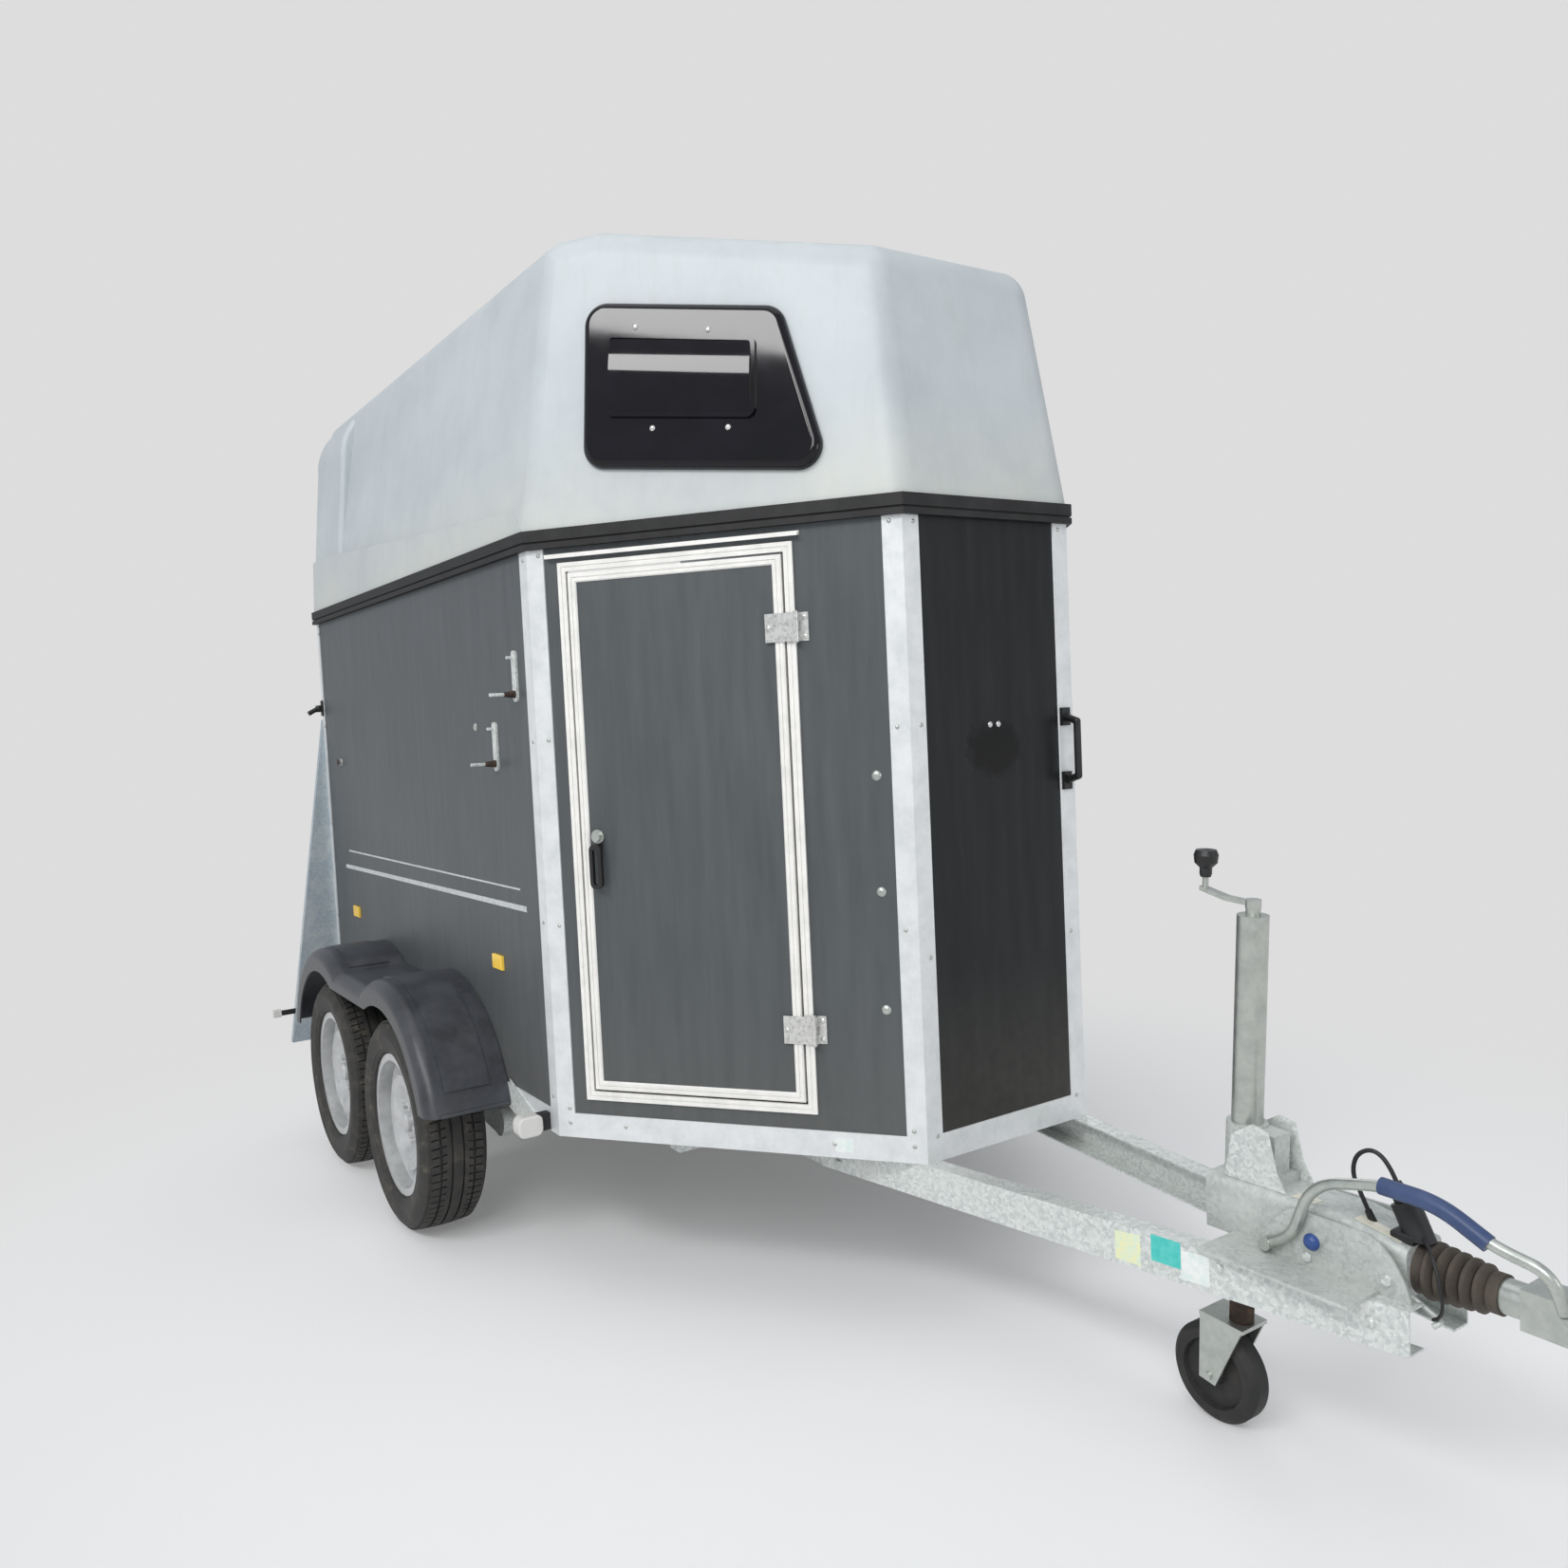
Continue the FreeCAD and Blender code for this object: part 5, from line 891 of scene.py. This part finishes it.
# Cheek of the jack's bracket: X and height of its corners, where it stands on the housing, then its
# place, thickness, raised border, dished middle and rounded edge.
CHEEK = ((2496, 530), (2632, 530), (2612, 566), (2596, 638), (2562, 646), (2516, 618))
CHEEK_Y = 43.0
CHEEK_T = 4.0
CHEEK_BORDER = 9.0
CHEEK_DISH = 1.5
CHEEK_EDGE_R = 1.0


def bracket_cheeks(finish):
    """The two folded side plates that brace the jack's clamp on the housing."""
    for side in (-1, 1):
        bpy.ops.mesh.primitive_circle_add(vertices=len(CHEEK), radius=0.05, fill_type="NGON")
        cheek = bpy.context.object
        for vertex, (x, z) in zip(cheek.data.vertices, CHEEK):
            vertex.co = at(x, side * CHEEK_Y, z)
        bpy.ops.object.mode_set(mode="EDIT")
        bpy.ops.mesh.select_all(action="SELECT")
        bpy.ops.mesh.inset(thickness=CHEEK_BORDER / 1000)
        bpy.ops.transform.translate(value=(0, -side * CHEEK_DISH / 1000, 0))
        bpy.ops.mesh.select_all(action="SELECT")
        bpy.ops.mesh.normals_make_consistent(inside=False)
        bpy.ops.object.mode_set(mode="OBJECT")
        thick = cheek.modifiers.new("thickness", "SOLIDIFY")
        thick.thickness = CHEEK_T / 1000
        thick.offset = 0.0
        bpy.ops.object.modifier_apply(modifier=thick.name)
        edge = cheek.modifiers.new("worn_edge", "BEVEL")
        edge.width = CHEEK_EDGE_R / 1000
        edge.segments = 2
        bpy.ops.object.modifier_apply(modifier=edge.name)
        hand = "right" if side < 0 else "left"
        settle(cheek, f"bracket_cheek_{hand}", finish)


# Blank stickers on the near beam: name, rear and front X, rear and front foot, rear and front top.
STICKERS = (("pale_sticker", 2341.0, 2397.0, 350.0, 350.0, 407.0, 412.0),
            ("teal_sticker", 2420.0, 2482.0, 369.5, 369.0, 422.0, 421.0),
            ("white_sticker", 2483.0, 2540.0, 351.0, 352.0, 407.0, 411.0))


# The sill's sticker, as distances along the slanted wall and heights, and the labels on the housing,
# as name, rear and front X, and the two distances from the middle.
SILL_STICKER = ((734, 437), (778, 437), (778, 469), (734, 469))
SILL_FACE = 3.1
HOUSING_LABELS = (("housing_label_rear", 2642, 2690, -44, -18),
                  ("housing_label_front", 2765, 2850, -42, -16))


def housing_top(x):
    """The height of the housing's top, level behind its bend and falling in front."""
    return HOUSING_TOP - max(x - HOUSING_BEND, 0) * HOUSING_FALL


def labels(finishes):
    """Blank stickers on the beam and the sill, and blank paper labels on the housing."""
    colours = {"pale_sticker": plain_print("pale_yellow_vinyl", "#e6e6b4", "#cfe3dc"),
               "teal_sticker": plain_print("teal_vinyl", "#3fbfb6", "#62cbc2"),
               "white_sticker": plain_print("white_vinyl", "#e9ebe8", "#cfe0d9")}
    for name, x0, x1, low0, low1, top0, top1 in STICKERS:
        corners = [beam_face(x0, low0), beam_face(x1, low1), beam_face(x1, top1), beam_face(x0, top0)]
        strip(name, corners, colours[name])
    sill = [on_slant(along, SILL_FACE, z) for along, z in SILL_STICKER]
    strip("sill_sticker", sill, colours["white_sticker"])
    for name, x0, x1, y0, y1 in HOUSING_LABELS:
        corners = [at(x, y, housing_top(x)) for x, y in ((x0, y0), (x1, y0), (x1, y1), (x0, y1))]
        strip(name, corners, finishes["paper"])


# Foot battens, with the ramp closed: the X of its inner face, a batten's thickness, length, height and
# edge, the lowest one's height, and their pitch and number.
RAMP_FACE_X = -1047.0
BATTEN_T = 6.0
BATTEN_L = 1360.0
BATTEN_H = 30.0
BATTEN_EDGE_R = 3.0
BATTEN_FIRST_Z = 560.0
BATTEN_PITCH = 170.0
BATTENS = 6


def ramp_battens(finish):
    """Rubber-faced foot battens across the inner face of the ramp."""
    bpy.ops.mesh.primitive_cube_add(size=1, scale=(BATTEN_T / 1000, BATTEN_L / 1000, BATTEN_H / 1000),
                                    location=at(RAMP_FACE_X + BATTEN_T / 2, 0, BATTEN_FIRST_Z))
    batten = bpy.context.object
    bpy.ops.object.transform_apply(location=True, rotation=True, scale=True)
    bpy.ops.object.mode_set(mode="EDIT")
    pick(batten, "FACE", lambda face: face.normal.x > 0.9)
    bpy.ops.mesh.bevel(offset=BATTEN_EDGE_R / 1000, segments=2, affect="EDGES")
    bpy.ops.mesh.select_all(action="SELECT")
    for _ in range(BATTENS - 1):
        bpy.ops.mesh.duplicate_move(TRANSFORM_OT_translate={"value": (0, 0, BATTEN_PITCH / 1000)})
    bpy.ops.object.mode_set(mode="OBJECT")
    settle(batten, "ramp_battens", finish, "ramp")


# The floor takes shadows near the trailer and is flat in colour beyond, over an oval in metres.
FLOOR_COLOUR = "#dddddd"
FLOOR_NEAR = 1.0
FLOOR_FAR = 3.3
FLOOR_OVAL = (0.9, 1.0, 0.0)
FLOOR_SHARE = 0.2
AMBIENT = 0.62
# Lamps: name, place and target in metres, width and height, watts.
LAMPS = (
    ("key", (6.2, -5.9, 6.4), (0, 0, 1.2), 3.6, 3.6, 235.0),
    ("sky", (0.0, -1.0, 8.0), (0, 0, 1.2), 7.0, 7.0, 100.0),
    ("side_fill", (-3.0, -7.5, 3.6), (0, 0, 1.2), 4.0, 3.0, 20.0),
    ("nose_fill", (8.6, 2.4, 2.6), (1.0, 0, 2.0), 3.0, 2.4, 52.0),
    ("far_fill", (-7.0, 5.0, 5.0), (0, 0, 1.2), 5.0, 5.0, 160.0),
    ("gloss_strip", (2.4, -7.4, 7.5), (1.4, -0.6, 2.3), 4.2, 1.6, 275.0),
)


def studio():
    """The pale floor that fades into the pale surround, and the soft lamps."""
    bpy.ops.mesh.primitive_plane_add(size=120, location=(0, 0, 0))
    floor = bpy.context.object
    floor.name = "studio_floor"
    material, tree, shader, place = start("studio_floor", Roughness=1.0, Specular_IOR_Level=0.0)
    shader.inputs["Base Color"].default_value = linear("#f2f2f2")
    rays = node(tree, "ShaderNodeLightPath").outputs
    flat = node(tree, "ShaderNodeEmission", {"Color": linear(FLOOR_COLOUR), "Strength": 1.0})
    seen = combine(tree, "MAXIMUM", rays["Is Camera Ray"], rays["Is Glossy Ray"])
    seen = combine(tree, "MAXIMUM", seen, rays["Is Transmission Ray"])
    oval = node(tree, "ShaderNodeVectorMath", {0: place, 1: FLOOR_OVAL}, operation="MULTIPLY")
    reach = node(tree, "ShaderNodeVectorMath", {0: oval.outputs[0]}, operation="LENGTH")
    away = node(tree, "ShaderNodeMapRange", {"Value": reach.outputs["Value"], "From Min": FLOOR_NEAR,
                                             "From Max": FLOOR_FAR, "To Min": FLOOR_SHARE, "To Max": 1.0},
                interpolation_type="SMOOTHSTEP")
    share = combine(tree, "MULTIPLY", seen, away.outputs[0])
    mixed = node(tree, "ShaderNodeMixShader", {0: share, 1: shader.outputs[0], 2: flat.outputs[0]})
    tree.links.new(mixed.outputs[0], tree.nodes["Material Output"].inputs["Surface"])
    floor.data.materials.append(material)

    world = bpy.data.worlds.new("studio")
    bpy.context.scene.world = world
    world.use_nodes = True
    tree = world.node_tree
    rays = node(tree, "ShaderNodeLightPath").outputs
    seen = combine(tree, "MAXIMUM", rays["Is Camera Ray"], rays["Is Transmission Ray"])
    ambient = tree.nodes["Background"]
    ambient.inputs["Color"].default_value = linear("#e8ecf2")
    ambient.inputs["Strength"].default_value = AMBIENT
    backdrop = node(tree, "ShaderNodeBackground", {"Color": linear(FLOOR_COLOUR), "Strength": 1.0})
    mixed = node(tree, "ShaderNodeMixShader", {0: seen, 1: ambient.outputs[0], 2: backdrop.outputs[0]})
    tree.links.new(mixed.outputs[0], tree.nodes["World Output"].inputs["Surface"])

    for name, place, target, wide, tall, power in LAMPS:
        data = bpy.data.lights.new(name, "AREA")
        data.shape = "RECTANGLE"
        data.size = wide
        data.size_y = tall
        data.energy = power
        lamp = bpy.data.objects.new(name, data)
        bpy.context.scene.collection.objects.link(lamp)
        lamp.location = place
        aim = Vector(target) - Vector(place)
        lamp.rotation_euler = aim.to_track_quat("-Z", "Y").to_euler()
    bpy.context.scene.view_settings.view_transform = "Standard"


set_camera()
finishes = dress_nodes()
recoat_nodes(finishes)
lay_cords(finishes["cable_black"])
TYRES = (("tyre_front_right", "wheel_front_right"), ("tyre_rear_right", "wheel_rear_right"),
         ("tyre_front_left", "wheel_front_left"), ("tyre_rear_left", "wheel_rear_left"))
for tyre_node, wheel in TYRES:
    road_tyre(tyre_node, wheel, finishes["tyre"])
rivets(finishes["zinc_plated"])
coach_bolts(finishes["zinc_plated"])
stripes(plain_print("silver_vinyl_stripe", "#c9cccd", "#aeb1b2"))
screws(finishes["screw"])
drawbar_bolts(finishes["galvanised"])
blue_caps(grained_plastic("blue_cap_plastic", "#2c4a86", "#4463a0", rough=(0.25, 0.4)))
bracket_cheeks(finishes["galvanised"])
labels(finishes)
ramp_battens(finishes["floor_ply"])
studio()
